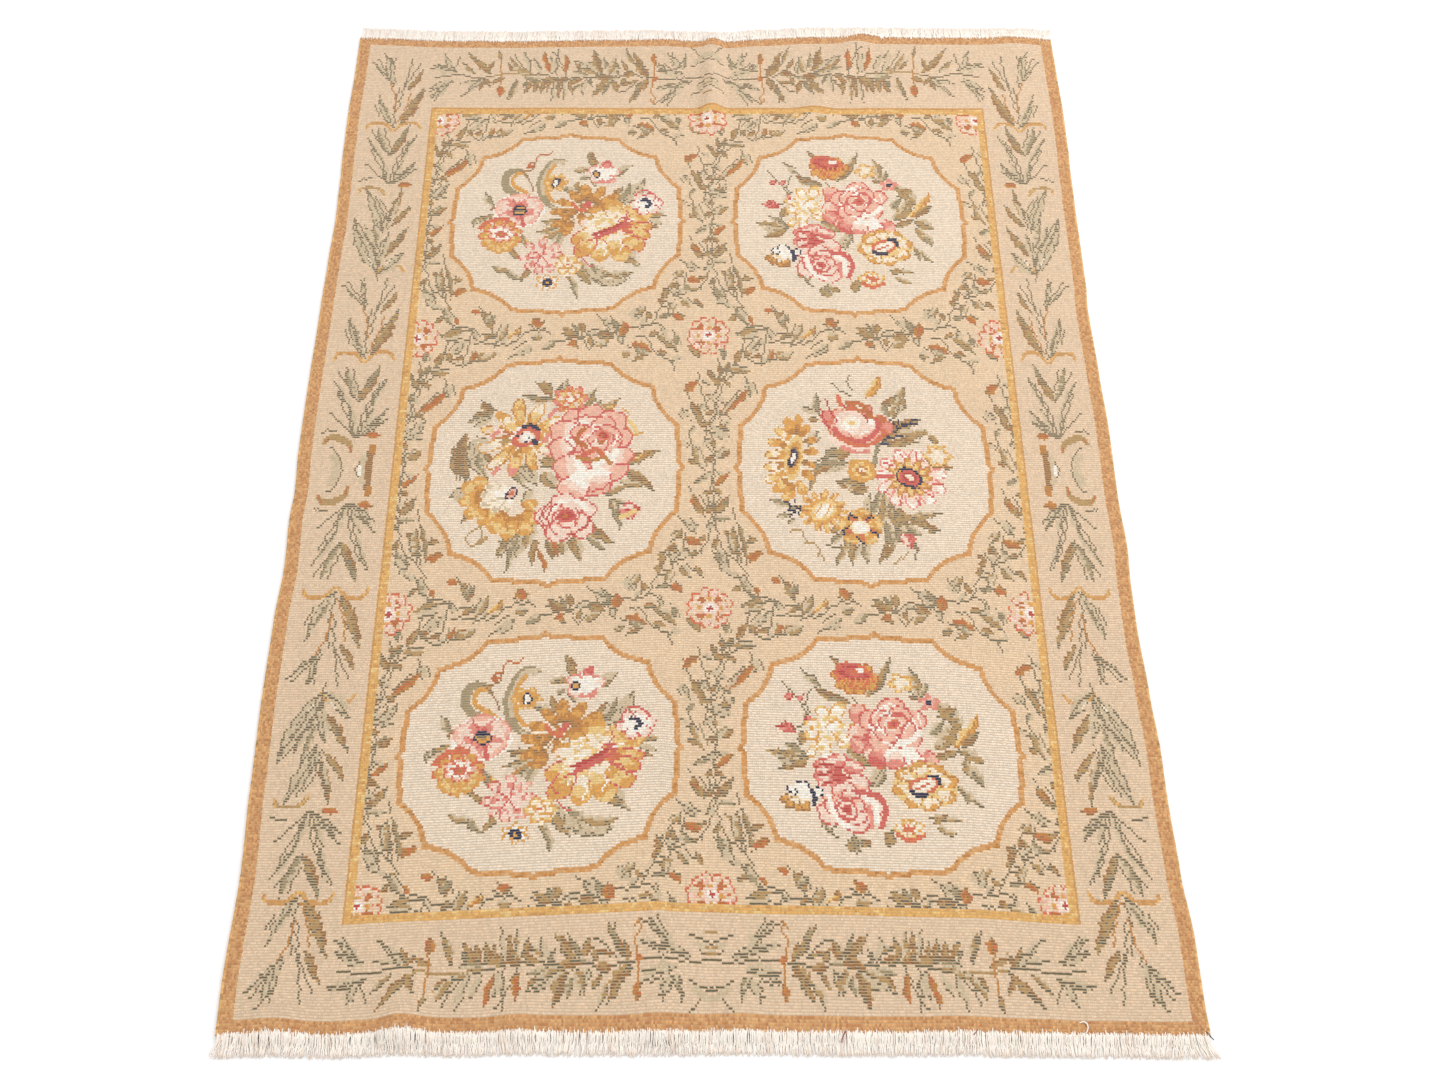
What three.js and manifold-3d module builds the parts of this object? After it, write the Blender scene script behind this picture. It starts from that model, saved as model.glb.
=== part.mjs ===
// Hand-knotted rug lying flat on a floor, with a cotton fringe along both short ends.
//
// Millimetres. X is the width, Y the length with the front end at -Y, and Z is up.
// The floor is z = 0, and the origin is on it, under the middle of the rug.
//
// The cloth is one thin sheet. It lies flat but for soft ridges at its two ends, where it
// has not settled since it was folded, and its outline wanders as a hand-made edge does.
// Each fringe is a narrow strip of warp just outside the cloth's edge. Locks of yarn drop
// from the strip and rest level on the floor.

import * as THREE from "three";
import Module from "manifold-3d";

const wasm = await Module();
wasm.setup();

// Cloth
const CLOTH_WIDTH = 1220;
const CLOTH_LENGTH = 1830;
const CLOTH_THICKNESS = 4;
const HALF_WIDTH = CLOTH_WIDTH / 2;
const HALF_LENGTH = CLOTH_LENGTH / 2;
const FRONT = -1;
const BACK = 1;

// Fringe
const FIT_GAP = 0.3;
const STRIP_WIDTH = 3;
const STRIP_THICKNESS = 2.4;
const LOCKS_PER_END = 145;
const LOCK_REACH = 28;
const LOCK_WIDTH = 4.4;
const LOCK_TIP_WIDTH = 2.2;
const LOCK_ROOT_HEIGHT = 1.5;
const LOCK_HEIGHT = 2.2;
const LOCK_TIP_HEIGHT = 1.1;
const LOCK_ROOT_RISE = 0.4;
const LANDING = 0.45;
const SHORTEST_LOCK = 0.84;
const CORNER_INSET = 3.5;
const CORNER_SPLAY = 5;
const CORNER_REACH = 40;

// Ridges in the cloth. A ridge meets the end of the cloth at edgeX, edgeHigh above the
// floor. Its top is at topX, topHigh, topIn in from that end. It keeps its direction past
// the top, and has died away at reach.
const RIDGES = [
  { end: FRONT, edgeX: -543, edgeHigh: 5.5, topX: -543, topHigh: 5.5, topIn: 15, reach: 105, half: 48 },
  { end: FRONT, edgeX: -383, edgeHigh: 12, topX: -383, topHigh: 11, topIn: 20, reach: 130, half: 52 },
  { end: FRONT, edgeX: -242, edgeHigh: 4, topX: -242, topHigh: 4, topIn: 15, reach: 90, half: 45 },
  { end: FRONT, edgeX: -66, edgeHigh: 7, topX: -61, topHigh: 7, topIn: 30, reach: 170, half: 60 },
  { end: FRONT, edgeX: 36, edgeHigh: 4, topX: 36, topHigh: 4, topIn: 15, reach: 100, half: 45 },
  { end: FRONT, edgeX: 306, edgeHigh: 3, topX: 306, topHigh: 3, topIn: 15, reach: 100, half: 55 },
  { end: BACK, edgeX: -70, edgeHigh: 2.7, topX: -70, topHigh: 2.7, topIn: 20, reach: 90, half: 40 },
  { end: BACK, edgeX: 10, edgeHigh: 8, topX: 8, topHigh: 14, topIn: 150, reach: 265, half: 30 },
  { end: BACK, edgeX: 273, edgeHigh: 7, topX: 195, topHigh: 7, topIn: 150, reach: 270, half: 42 },
  { end: BACK, edgeX: 540, edgeHigh: 3.5, topX: 540, topHigh: 3.5, topIn: 20, reach: 120, half: 50 },
];

// How far each side of the cloth stands out from a true rectangle, at places along it. The
// long sides are read from the front end to the back, and the ends from left to right.
const OUTLINE = {
  left: [
    [-915, 2.5], [-845, 3.5], [-695, -0.5], [-575, 3], [-425, 5], [-305, 4], [-215, 0], [-125, 2.5],
    [-80, 0.5], [0, 3.5], [85, 3.5], [285, 1.5], [385, 0], [475, -2.2], [565, -0.8], [635, 1.2],
    [725, 2], [835, 0], [915, 0],
  ],
  right: [
    [-915, 6], [-875, 4.5], [-785, 4.5], [-695, -1], [-585, -3.2], [-515, -2.5], [-425, -6], [-315, -9.5],
    [-245, -9], [-175, -6], [-95, -8.5], [45, -7], [145, -9], [285, -11.5], [335, -8.5], [475, -7.5],
    [585, -6], [645, -4], [735, -3], [835, -4.5], [915, -5.5],
  ],
  front: [
    [-610, 0], [-540, -1.5], [-480, 1], [-420, -1], [-390, -4], [-350, -2], [-300, -1.5], [-240, -3.5],
    [-160, -2.5], [-50, -2.5], [30, -3.5], [90, -3], [190, -2], [300, -2.3], [390, -1], [480, 0],
    [570, 2], [610, 1.5],
  ],
  back: [
    [-610, 5], [-570, 2.5], [-450, -3], [-340, -4], [-270, -2], [-180, 0], [-110, 1], [-50, -2],
    [-10, -3], [30, -4.5], [90, 2], [180, 8], [240, 8.5], [330, 8], [390, 6.5], [510, 7],
    [570, 6.5], [610, 3],
  ],
};

// Grid lines of the cloth's facets
const SIDE_COLUMNS = [-HALF_WIDTH, -470, -310, 90, 390, 450, HALF_WIDTH];
const RIDGE_COLUMNS = [-1, -0.5, 0, 0.5, 1];
const CLOSEST_COLUMNS = 9;
const FRONT_ROWS = [0, 15, 40, 70, 100, 130, 170];
const MIDDLE_ROWS = [-690, -575, -500, -425, -315, -215, -125, -40, 45, 145, 285, 340, 475, 565];
const BACK_ROWS = [0, 30, 75, 120, 150, 180, 210, 240, 270];

function mix(a, b, t) {
  return a + (b - a) * t;
}

function smooth(t) {
  const clamped = THREE.MathUtils.clamp(t, 0, 1);
  return clamped * clamped * (3 - 2 * clamped);
}

// How far out one side stands at a place along it, smoothly between the places in its table
function standOut(table, along) {
  const next = table.findIndex(([place]) => place >= along);
  if (next <= 0) return next === 0 ? table[0][1] : table[table.length - 1][1];
  const [placeBefore, outBefore] = table[next - 1];
  const [placeAfter, outAfter] = table[next];
  return mix(outBefore, outAfter, smooth((along - placeBefore) / (placeAfter - placeBefore)));
}

// Height of the cloth's underside above the floor at a place on the flat cloth
function lift(u, v) {
  let height = 0;
  for (const ridge of RIDGES) {
    const inward = HALF_LENGTH - ridge.end * v;
    if (inward >= ridge.reach) continue;
    const centre = mix(ridge.edgeX, ridge.topX, inward / ridge.topIn);
    const across = Math.abs(u - centre) / ridge.half;
    if (across >= 1) continue;
    const rising = mix(ridge.edgeHigh, ridge.topHigh, smooth(inward / ridge.topIn));
    const fading = 1 - smooth((inward - ridge.topIn) / (ridge.reach - ridge.topIn));
    height += rising * fading * 0.5 * (1 + Math.cos(Math.PI * across));
  }
  return height;
}

// A place on the flat cloth, moved to where the uneven outline puts it
function settle(u, v) {
  const left = standOut(OUTLINE.left, v);
  const right = standOut(OUTLINE.right, v);
  const front = standOut(OUTLINE.front, u);
  const back = standOut(OUTLINE.back, u);
  const x = u + mix(-left, right, 0.5 + u / CLOTH_WIDTH);
  const y = v + mix(-front, back, 0.5 + v / CLOTH_LENGTH);
  return [x, y];
}

function clothColumns() {
  const wanted = [...SIDE_COLUMNS];
  for (const { edgeX, topX, half } of RIDGES) {
    const middle = (edgeX + topX) / 2;
    for (const step of RIDGE_COLUMNS) {
      wanted.push(middle + step * (half + Math.abs(edgeX - topX) / 2));
    }
  }
  wanted.sort((a, b) => a - b);
  const kept = [];
  for (const u of wanted) {
    const clear = kept.length === 0 || u - kept[kept.length - 1] >= CLOSEST_COLUMNS;
    if (clear && u <= HALF_WIDTH) kept.push(u);
  }
  return kept;
}

function clothRows() {
  const front = FRONT_ROWS.map((inward) => inward - HALF_LENGTH);
  const back = BACK_ROWS.map((inward) => HALF_LENGTH - inward).reverse();
  return [...front, ...MIDDLE_ROWS, ...back];
}

// Closed sheet over a grid: place gives the corner of grid line i, j on one side of the sheet
function sheetGeometry(columnCount, rowCount, place) {
  const positions = [];
  for (const top of [false, true]) {
    for (let j = 0; j < rowCount; j += 1) {
      for (let i = 0; i < columnCount; i += 1) positions.push(...place(i, j, top));
    }
  }
  const layer = columnCount * rowCount;
  const at = (i, j, top) => j * columnCount + i + (top ? layer : 0);
  const faces = [];
  const quad = (a, b, c, d) => faces.push(a, b, c, a, c, d);
  for (let j = 0; j + 1 < rowCount; j += 1) {
    for (let i = 0; i + 1 < columnCount; i += 1) {
      quad(at(i, j, true), at(i + 1, j, true), at(i + 1, j + 1, true), at(i, j + 1, true));
      quad(at(i, j, false), at(i, j + 1, false), at(i + 1, j + 1, false), at(i + 1, j, false));
    }
  }
  const last = columnCount - 1;
  const far = rowCount - 1;
  for (let i = 0; i < last; i += 1) {
    quad(at(i, 0, false), at(i + 1, 0, false), at(i + 1, 0, true), at(i, 0, true));
    quad(at(i + 1, far, false), at(i, far, false), at(i, far, true), at(i + 1, far, true));
  }
  for (let j = 0; j < far; j += 1) {
    quad(at(0, j + 1, false), at(0, j, false), at(0, j, true), at(0, j + 1, true));
    quad(at(last, j, false), at(last, j + 1, false), at(last, j + 1, true), at(last, j, true));
  }
  return closedGeometry(positions, faces);
}

function closedGeometry(positions, faces) {
  const geometry = new THREE.BufferGeometry();
  geometry.setAttribute("position", new THREE.Float32BufferAttribute(positions, 3));
  geometry.setIndex(faces);
  return geometry;
}

function toSolid(geometry) {
  return new wasm.Manifold(new wasm.Mesh({
    numProp: 3,
    vertProperties: new Float32Array(geometry.attributes.position.array),
    triVerts: new Uint32Array(geometry.index.array),
  }));
}

function toGeometry(solid) {
  const { vertProperties, triVerts } = solid.getMesh();
  return closedGeometry(Array.from(vertProperties), Array.from(triVerts));
}

function clothGeometry(columns) {
  const rows = clothRows();
  return sheetGeometry(columns.length, rows.length, (i, j, top) => {
    const [x, y] = settle(columns[i], rows[j]);
    return [x, y, lift(columns[i], rows[j]) + (top ? CLOTH_THICKNESS : 0)];
  });
}

// The narrow strip of warp that the locks of one end grow from, just outside the cloth
function stripGeometry(end, columns) {
  const nearest = FIT_GAP;
  const farthest = FIT_GAP + STRIP_WIDTH;
  const offsets = end === FRONT ? [farthest, nearest] : [nearest, farthest];
  return sheetGeometry(columns.length, offsets.length, (i, j, top) => {
    const [x, y] = settle(columns[i], end * HALF_LENGTH);
    const bottom = lift(columns[i], end * HALF_LENGTH);
    return [x, y + end * offsets[j], bottom + (top ? STRIP_THICKNESS : 0)];
  });
}

// How far a lock's tip leans along the end, as combed by use, with more splay at the corners
function lean(u, end) {
  const combed = 3.2 * Math.sin(u / 41 + end) + 2.2 * Math.sin(u / 17 + 2 * end);
  const splay = CORNER_SPLAY * smooth(1 - (HALF_WIDTH - Math.abs(u)) / CORNER_REACH);
  return combed * (1 - splay / CORNER_SPLAY) + Math.sign(u) * splay;
}

// A fixed uneven number from 0 to 1 for each lock
function uneven(index) {
  const spread = Math.sin(index * 12.9898) * 43758.5453;
  return spread - Math.floor(spread);
}

// One lock of yarn: a three-sided prism from the strip to its landing, then level to its tip
function lockGeometry(end, index) {
  const outermost = HALF_WIDTH - CORNER_INSET;
  const u = mix(-outermost, outermost, index / (LOCKS_PER_END - 1));
  const [x, y] = settle(u, end * HALF_LENGTH);
  const reach = LOCK_REACH * mix(SHORTEST_LOCK, 1, uneven(index));
  const aside = lean(u, end);
  const rootOut = FIT_GAP + STRIP_WIDTH / 2;
  const rootLow = lift(u, end * HALF_LENGTH) + LOCK_ROOT_RISE;
  const stations = [
    { out: rootOut, low: rootLow, width: LOCK_WIDTH, height: LOCK_ROOT_HEIGHT },
    { out: LANDING * reach, low: 0, width: LOCK_WIDTH, height: LOCK_HEIGHT },
    { out: reach, low: 0, width: LOCK_TIP_WIDTH, height: LOCK_TIP_HEIGHT },
  ];
  const positions = [];
  for (const { out, low, width, height } of stations) {
    const shifted = x + aside * ((out - rootOut) / (reach - rootOut));
    const away = y + end * out;
    positions.push(shifted - width / 2, away, low);
    positions.push(shifted + width / 2, away, low);
    positions.push(shifted, away, low + height);
  }
  return closedGeometry(positions, prismFaces(stations.length, end));
}

// Triangles of a prism with three corners at each station, facing out
function prismFaces(stationCount, end) {
  const faces = [[0, 1, 2]];
  for (let station = 0; station + 1 < stationCount; station += 1) {
    for (let corner = 0; corner < 3; corner += 1) {
      const a = 3 * station + corner;
      const b = 3 * station + ((corner + 1) % 3);
      faces.push([a, a + 3, b], [b, a + 3, b + 3]);
    }
  }
  const tip = 3 * (stationCount - 1);
  faces.push([tip, tip + 2, tip + 1]);
  return faces.flatMap(([a, b, c]) => (end === FRONT ? [a, c, b] : [a, b, c]));
}

function fringeGeometry(end, columns) {
  let solid = toSolid(stripGeometry(end, columns));
  for (let index = 0; index < LOCKS_PER_END; index += 1) {
    solid = solid.add(toSolid(lockGeometry(end, index)));
  }
  return toGeometry(solid);
}

function yarn(color, roughness) {
  return new THREE.MeshStandardMaterial({ color, roughness, metalness: 0 });
}

function part(name, geometry, material) {
  const mesh = new THREE.Mesh(geometry, material);
  mesh.name = name;
  return mesh;
}

const columns = clothColumns();
const wool = yarn("#e4c79b", 0.95);
const cotton = yarn("#efe6dc", 0.9);
const group = new THREE.Group();
group.add(part("rug_cloth", clothGeometry(columns), wool));
group.add(part("fringe_front", fringeGeometry(FRONT, columns), cotton));
group.add(part("fringe_back", fringeGeometry(BACK, columns), cotton));

// The uneven outline is set evenly about the origin
const middle = new THREE.Box3().setFromObject(group).getCenter(new THREE.Vector3());
for (const mesh of group.children) {
  mesh.position.set(-middle.x, -middle.y, 0);
}

export default group;
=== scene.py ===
# Floral medallion rug: the wool face, its edges and the cotton fringe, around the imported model

from itertools import groupby
from math import cos, hypot, pi, radians, sin

import bpy
import numpy as np
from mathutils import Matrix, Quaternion, Vector


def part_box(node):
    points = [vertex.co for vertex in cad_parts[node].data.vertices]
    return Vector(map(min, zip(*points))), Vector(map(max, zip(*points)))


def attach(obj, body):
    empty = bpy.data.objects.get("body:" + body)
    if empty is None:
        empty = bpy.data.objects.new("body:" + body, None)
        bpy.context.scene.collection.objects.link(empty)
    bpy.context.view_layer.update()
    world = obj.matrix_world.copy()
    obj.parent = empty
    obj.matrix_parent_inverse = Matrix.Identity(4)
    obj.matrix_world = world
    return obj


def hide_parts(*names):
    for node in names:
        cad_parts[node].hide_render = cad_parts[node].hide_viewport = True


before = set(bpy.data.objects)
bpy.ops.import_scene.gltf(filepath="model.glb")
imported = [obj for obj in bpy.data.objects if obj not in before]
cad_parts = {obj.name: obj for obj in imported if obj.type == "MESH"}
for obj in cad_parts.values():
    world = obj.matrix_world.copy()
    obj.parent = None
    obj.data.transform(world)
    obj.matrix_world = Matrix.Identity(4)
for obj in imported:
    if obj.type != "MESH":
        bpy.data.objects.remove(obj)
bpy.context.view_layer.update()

bl_info = {
    "name": "Floral medallion rug",
    "version": (1, 0, 0),
    "blender": (4, 5, 0),
    "location": "3D View > Sidebar > Rug",
    "description": "Works the face, edges and fringe of a floral rug around its packed model",
    "category": "Object",
}

MM = 0.001


# Chart of the pattern

# Sizes on the pattern, in millimetres from the rug's middle
CLOTH_WIDTH = 1220
CLOTH_LENGTH = 1830
HALF_WIDTH = CLOTH_WIDTH / 2
HALF_LENGTH = CLOTH_LENGTH / 2
CLOTH_THICKNESS = 4
COLUMNS = 470
ROWS = 471
BAND_SIDE = 19
BAND_END = 20
GUARD_X = 465.5
GUARD_Y = 756
GUARD_HALF = 6.3
GUARD_LINE = 2.6
CELL_X = 231
CELL_Y = 494
ROSETTE_X = 0.985 * CELL_X
ROSETTE_END = 734
GARLAND_STEM = 829
CHART_SEED = 7

# Woven places along the rug and the places of the drawn pattern that they show: the front
# row of medallions was woven shorter than the others
WOVEN_PLACES = (-915, -895, -763, -711, -341, -247, 171, 268, 671, 733.5, 895, 915)
PATTERN_PLACES = (-915, -895, -756, -700, -288, -206, 206, 288, 700, 756, 895, 915)

# Yarns by name, as dyed wool
YARNS = {
    "border": "E4C9AC", "field": "E9CDAC", "ivory": "EDDDC9", "guard": "E1AE66",
    "guard_line": "CE985A", "outline": "D3975A", "band": "CF9865", "band_light": "DBA871",
    "band_deep": "C28757", "mist": "D1BE9F", "sage": "998C6D", "moss": "676250",
    "khaki": "B08E5C", "bark": "95693F", "rust": "BF6E40", "coral": "D56F50", "blush": "EFB9A4",
    "pale": "F4D8C7",
    "pink": "E38D80", "rose": "CF605B", "crimson": "B84443", "amber": "DBA053",
    "ochre": "BF8243", "straw": "EAC785", "cream": "F5E6CE", "white": "F9F2E6",
    "navy": "1F2C4C",
}
# Mingled yarns: a lighter one and its share of the stitches, then a darker one and its share
MINGLED = {
    "guard": ("straw", 0.2, "guard_line", 0.16),
    "outline": ("band_light", 0.28, "ochre", 0.14),
    "band": ("band_light", 0.34, "band_deep", 0.28),
}
INK = {name: number for number, name in enumerate(YARNS)}
KEEP = -1


def ink_row(names):
    return np.array([INK[name] for name in names.split()])


class Chart:
    """The weaver's chart: a yarn for each stitch, at places in millimetres on the pattern."""

    def __init__(self):
        self.x = (np.arange(COLUMNS) + 0.5) * CLOTH_WIDTH / COLUMNS - HALF_WIDTH
        woven = (np.arange(ROWS) + 0.5) * CLOTH_LENGTH / ROWS - HALF_LENGTH
        self.y = np.interp(woven, WOVEN_PLACES, PATTERN_PLACES)
        self.ink = np.full((ROWS, COLUMNS), INK["field"], np.int16)
        chance = np.random.default_rng(CHART_SEED).random(self.ink.shape)
        beside = np.roll(chance, 1, 1) + np.roll(chance, -1, 1)
        self.chance = 0.5 + 1.6 * ((chance + beside) / 3 - 0.5)

    def grid(self):
        return np.meshgrid(self.x, self.y)

    def fill(self, inside, name, chance=None):
        """Fills with a yarn, mingled with its lighter and darker ones where it has them."""
        self.ink[inside] = INK[name]
        if name in MINGLED:
            chance = self.chance if chance is None else chance
            light, light_share, dark, dark_share = MINGLED[name]
            self.ink[inside & (chance > 1 - light_share)] = INK[light]
            self.ink[inside & (chance < dark_share)] = INK[dark]


class Spot:
    """A place on the chart to draw from, perhaps flipped, or with its axes exchanged."""

    def __init__(self, chart, x=0.0, y=0.0, flip_x=1, flip_y=1, swap=False):
        self.chart = chart
        self.x = x
        self.y = y
        self.flip_x = flip_x
        self.flip_y = flip_y
        self.swap = swap

    def to_chart(self, x, y):
        if self.swap:
            x, y = y, x
        return self.x + self.flip_x * x, self.y + self.flip_y * y

    def from_chart(self, x, y):
        x = (x - self.x) * self.flip_x
        y = (y - self.y) * self.flip_y
        return (y, x) if self.swap else (x, y)

    def moved(self, x, y):
        new_x, new_y = self.to_chart(x, y)
        return Spot(self.chart, new_x, new_y, self.flip_x, self.flip_y, self.swap)

    def work(self, x, y, reach, rule):
        """Works the stitches within reach of a place. The rule gives their inks, or KEEP."""
        chart = self.chart
        middle_x, middle_y = self.to_chart(x, y)
        rows = slice(*np.searchsorted(chart.y, (middle_y - reach, middle_y + reach)))
        columns = slice(*np.searchsorted(chart.x, (middle_x - reach, middle_x + reach)))
        if rows.start == rows.stop or columns.start == columns.stop:
            return
        across, along = by_hand(*np.meshgrid(chart.x[columns], chart.y[rows]))
        local_x, local_y = self.from_chart(across, along)
        found = rule(local_x - x, local_y - y, chart.chance[rows, columns])
        old = chart.ink[rows, columns]
        chart.ink[rows, columns] = np.where(found == KEEP, old, found)


def by_hand(x, y):
    """Moves places by a millimetre or so, so that no outline is drawn twice quite alike."""
    moved_x = x + 0.9 * np.sin(y / 5.3 + np.sin(x / 9.1)) + 0.5 * np.sin(y / 2.9 + x / 13)
    moved_y = y + 0.9 * np.sin(x / 6.1 + np.sin(y / 8.3)) + 0.5 * np.sin(x / 3.1 - y / 11)
    return moved_x, moved_y


def shade(depth, chance, inks, mixing=0.8):
    """Inks by depth from 0 to 1, with the stitches mingled where one yarn meets the next."""
    step = depth * len(inks) + mixing * (chance - 0.5)
    return inks[np.clip(step.astype(int), 0, len(inks) - 1)]


def smooth_path(points, step=0.9):
    """Points close together on a curve through the given ones, as pairs or as x, y, x, y."""
    given = np.array(points, float).reshape(-1, 2)
    if len(given) == 2:
        count = int(hypot(*(given[1] - given[0])) / step) + 2
        return given[0] + np.linspace(0, 1, count)[:, None] * (given[1] - given[0])
    held = np.vstack([2 * given[0] - given[1], given, 2 * given[-1] - given[-2]])
    found = []
    for a, b, c, d in zip(held, held[1:], held[2:], held[3:]):
        t = np.linspace(0, 1, int(hypot(*(c - b)) / step) + 2)[:, None]
        bend = 2 * b + (c - a) * t + (2 * a - 5 * b + 4 * c - d) * t**2
        found.append(0.5 * (bend + (3 * b - a - 3 * c + d) * t**3))
    return np.vstack(found)


def line(spot, points, ink, width=0.0, taper=False):
    """A line of single stitches through points, or a broader one, which may taper to its ends."""
    path = smooth_path(points)
    ahead = np.gradient(path, axis=0)
    ahead /= np.maximum(np.hypot(ahead[:, 0], ahead[:, 1]), 1e-6)[:, None]
    beside = np.stack([-ahead[:, 1], ahead[:, 0]], 1)
    half = np.full(len(path), width / 2)
    if taper:
        half *= np.sin(pi * np.linspace(0.06, 0.94, len(path)))
    for share in np.linspace(-1, 1, 1 + 2 * int(width / 2.2)) if width else (0.0,):
        x, y = spot.to_chart(*(path + beside * (half * share)[:, None]).T)
        stitch(spot.chart, x, y, ink, thin=not width)


def stitch(chart, x, y, ink, thin=False):
    """One stitch at each place that lies on the chart. A thin line leaves out inner corners."""
    column = np.rint((x - chart.x[0]) / (chart.x[1] - chart.x[0])).astype(int)
    middles = (chart.y[1:] + chart.y[:-1]) / 2
    row = np.searchsorted(middles, y)
    on = (column >= 0) & (column < COLUMNS) & (y > -HALF_LENGTH) & (y < HALF_LENGTH)
    run = [cell for cell, again in groupby(zip(row[on], column[on]))]
    kept = run[:1]
    for cell, after in zip(run[1:], run[2:] + run[-1:]):
        corner = abs(after[0] - kept[-1][0]) == 1 and abs(after[1] - kept[-1][1]) == 1
        if not (thin and corner):
            kept.append(cell)
    for cell in kept:
        chart.ink[cell] = INK[ink]


# Tones of a leaf: the fill, its dark edge and its far edge
LEAF_TONES = {
    "khaki": "khaki moss bark",
    "brown": "bark moss khaki",
    "rust": "rust bark ochre",
    "amber": "amber ochre straw",
    "mist": "mist moss mist",
    "sage": "sage moss mist",
    "dark": "sage moss moss",
    "olive": "khaki moss mist",
    "gold": "khaki ochre straw",
    "bud": "pink crimson rose",
    "navy": "moss navy sage",
}


def leaf(spot, x0, y0, x1, y1, width, tone="khaki", bend=0.0, teeth=0):
    """A leaf with a dashed dark edge, tip and vein. Its sides are cut into lobes by its teeth."""
    length = hypot(x1 - x0, y1 - y0)
    ahead_x, ahead_y = (x1 - x0) / length, (y1 - y0) / length
    fill, edge, far = ink_row(LEAF_TONES[tone])

    def rule(dx, dy, chance):
        along = (dx * ahead_x + dy * ahead_y) / length + 0.5
        held = np.clip(along, 0, 1)
        across = dy * ahead_x - dx * ahead_y - bend * 4 * held * (1 - held)
        half = 0.64 * width * np.sin(pi * held**0.8)
        half = half * (1 - (0.42 if teeth else 0.24) * (held * (teeth or 2) % 1))
        inside = (along > 0) & (along < 1) & (np.abs(across) < half)
        found = np.where(across > half * (1.3 * chance - 0.35), far, fill)
        dark = (across < 2.8 - half) & (chance < 0.74) | (along > 0.84) & (chance < 0.6)
        dark |= (np.abs(across) < 1.4) & (chance < 0.55) & (width > 12)
        return np.where(inside, np.where(dark, edge, found), KEEP)

    spot.work((x0 + x1) / 2, (y0 + y1) / 2, length / 2 + width + abs(bend), rule)


def leaves(spot, rows):
    for row in rows:
        leaf(spot, *row)


def strokes(spot, rows):
    """Lines, each with its points and yarn, and its width where it is broader than a stitch."""
    for row in rows:
        line(spot, *row)


# How far a fine line of stitches wanders to either side, and how long a step it takes
WANDER = 1.7
WANDER_STEP = 9


def lines(spot, ink, paths):
    """Fine lines, each with the small wander of one that was worked by eye."""
    for number, path in enumerate(paths):
        places = smooth_path(path, WANDER_STEP)
        if len(places) > 3:
            ahead = np.gradient(places, axis=0)
            beside = np.stack([-ahead[:, 1], ahead[:, 0]], 1) / (np.hypot(*ahead.T)[:, None] + 0.01)
            swing = WANDER * np.sin(2.1 * np.arange(len(places)) + 1.7 * number)
            swing[[0, -1]] = 0
            places = places + beside * swing[:, None]
        line(spot, places, ink)


def petal(spot, x, y, turn, length, width, inks, rim="amber"):
    """A petal that starts at a place and points away. Its inks run from its base to its tip."""
    ahead_x, ahead_y = cos(radians(turn)), sin(radians(turn))
    shades = ink_row(inks)

    def rule(dx, dy, chance):
        along = (dx * ahead_x + dy * ahead_y) / length + 0.5
        across = np.abs(dy * ahead_x - dx * ahead_y)
        widest = 0.62
        away = np.where(along < widest, (widest - along) / widest, (along - widest) / (1 - widest))
        half = width / 2 * np.sqrt(np.clip(1 - away**2, 0, 1))
        inside = (along > 0) & (along < 1) & (across < half)
        near_rim = (half - across < 2.3) | (along > 1 - 2.3 / length)
        near_rim &= along > 0.35
        found = np.where(near_rim, INK[rim], shade(along, chance, shades))
        return np.where(inside, found, KEEP)

    middle_x = x + ahead_x * length / 2
    middle_y = y + ahead_y * length / 2
    spot.work(middle_x, middle_y, length / 2 + width / 2 + 3, rule)


def petals(spot, rows, *inks):
    """Petals, each with its place, turn, length and width, and its own inks or those of all."""
    for row in rows:
        petal(spot, *row, *inks)


def around(x, y, radius_x, radius_y, turn):
    """A place on an oval round another place."""
    return x + radius_x * cos(radians(turn)), y + radius_y * sin(radians(turn))


def rays(spot, x, y, turns, inner, outer, ink, twist=0):
    """Fine lines from an inner oval to an outer one, each given by its two half axes."""
    for turn in turns:
        line(spot, [around(x, y, *inner, turn), around(x, y, *outer, turn + twist)], ink)


def oval(spot, x, y, radius_x, radius_y, inks, turn=0.0, mixing=0.8):
    """An oval patch with its inks from the middle to the rim."""
    turn_x, turn_y = cos(radians(turn)), sin(radians(turn))
    shades = ink_row(inks)

    def rule(dx, dy, chance):
        a = (dx * turn_x + dy * turn_y) / radius_x
        b = (dy * turn_x - dx * turn_y) / radius_y
        depth = np.hypot(a, b)
        return np.where(depth < 1, shade(depth, chance, shades, mixing), KEEP)

    spot.work(x, y, max(radius_x, radius_y) + 3, rule)


def daisy(spot, x, y, radius, count, inks, rim, turn=0.0, squash=1.0, fullness=1.15):
    """A ring of petals round one middle, each overlapping the one before."""
    for index in range(count):
        angle = turn + 360 * index / count
        size = radius * (1 - (1 - squash) * abs(sin(radians(angle))))
        width = 2 * pi * radius * 0.62 / count * fullness
        petal(spot, x, y, angle, size, width, inks, rim)


def cup(spot, x, y, radius, facing, inks):
    """One round petal of a rose: rolled rim, pale inside, shaded towards its base."""
    rim, light, middle, shadow = ink_row(inks)
    facing_x, facing_y = cos(radians(facing)), sin(radians(facing))

    def rule(dx, dy, chance):
        depth = radius - np.hypot(dx, dy)
        side = (dx * facing_x + dy * facing_y) / radius + 0.25 * (chance - 0.5)
        found = np.where(side > 0.1, light, np.where(side > -0.35, middle, shadow))
        found = np.where((depth < 2.7) & (side > -0.6), rim, found)
        return np.where(depth > 0, found, KEEP)

    spot.work(x, y, radius + 3, rule)


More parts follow.
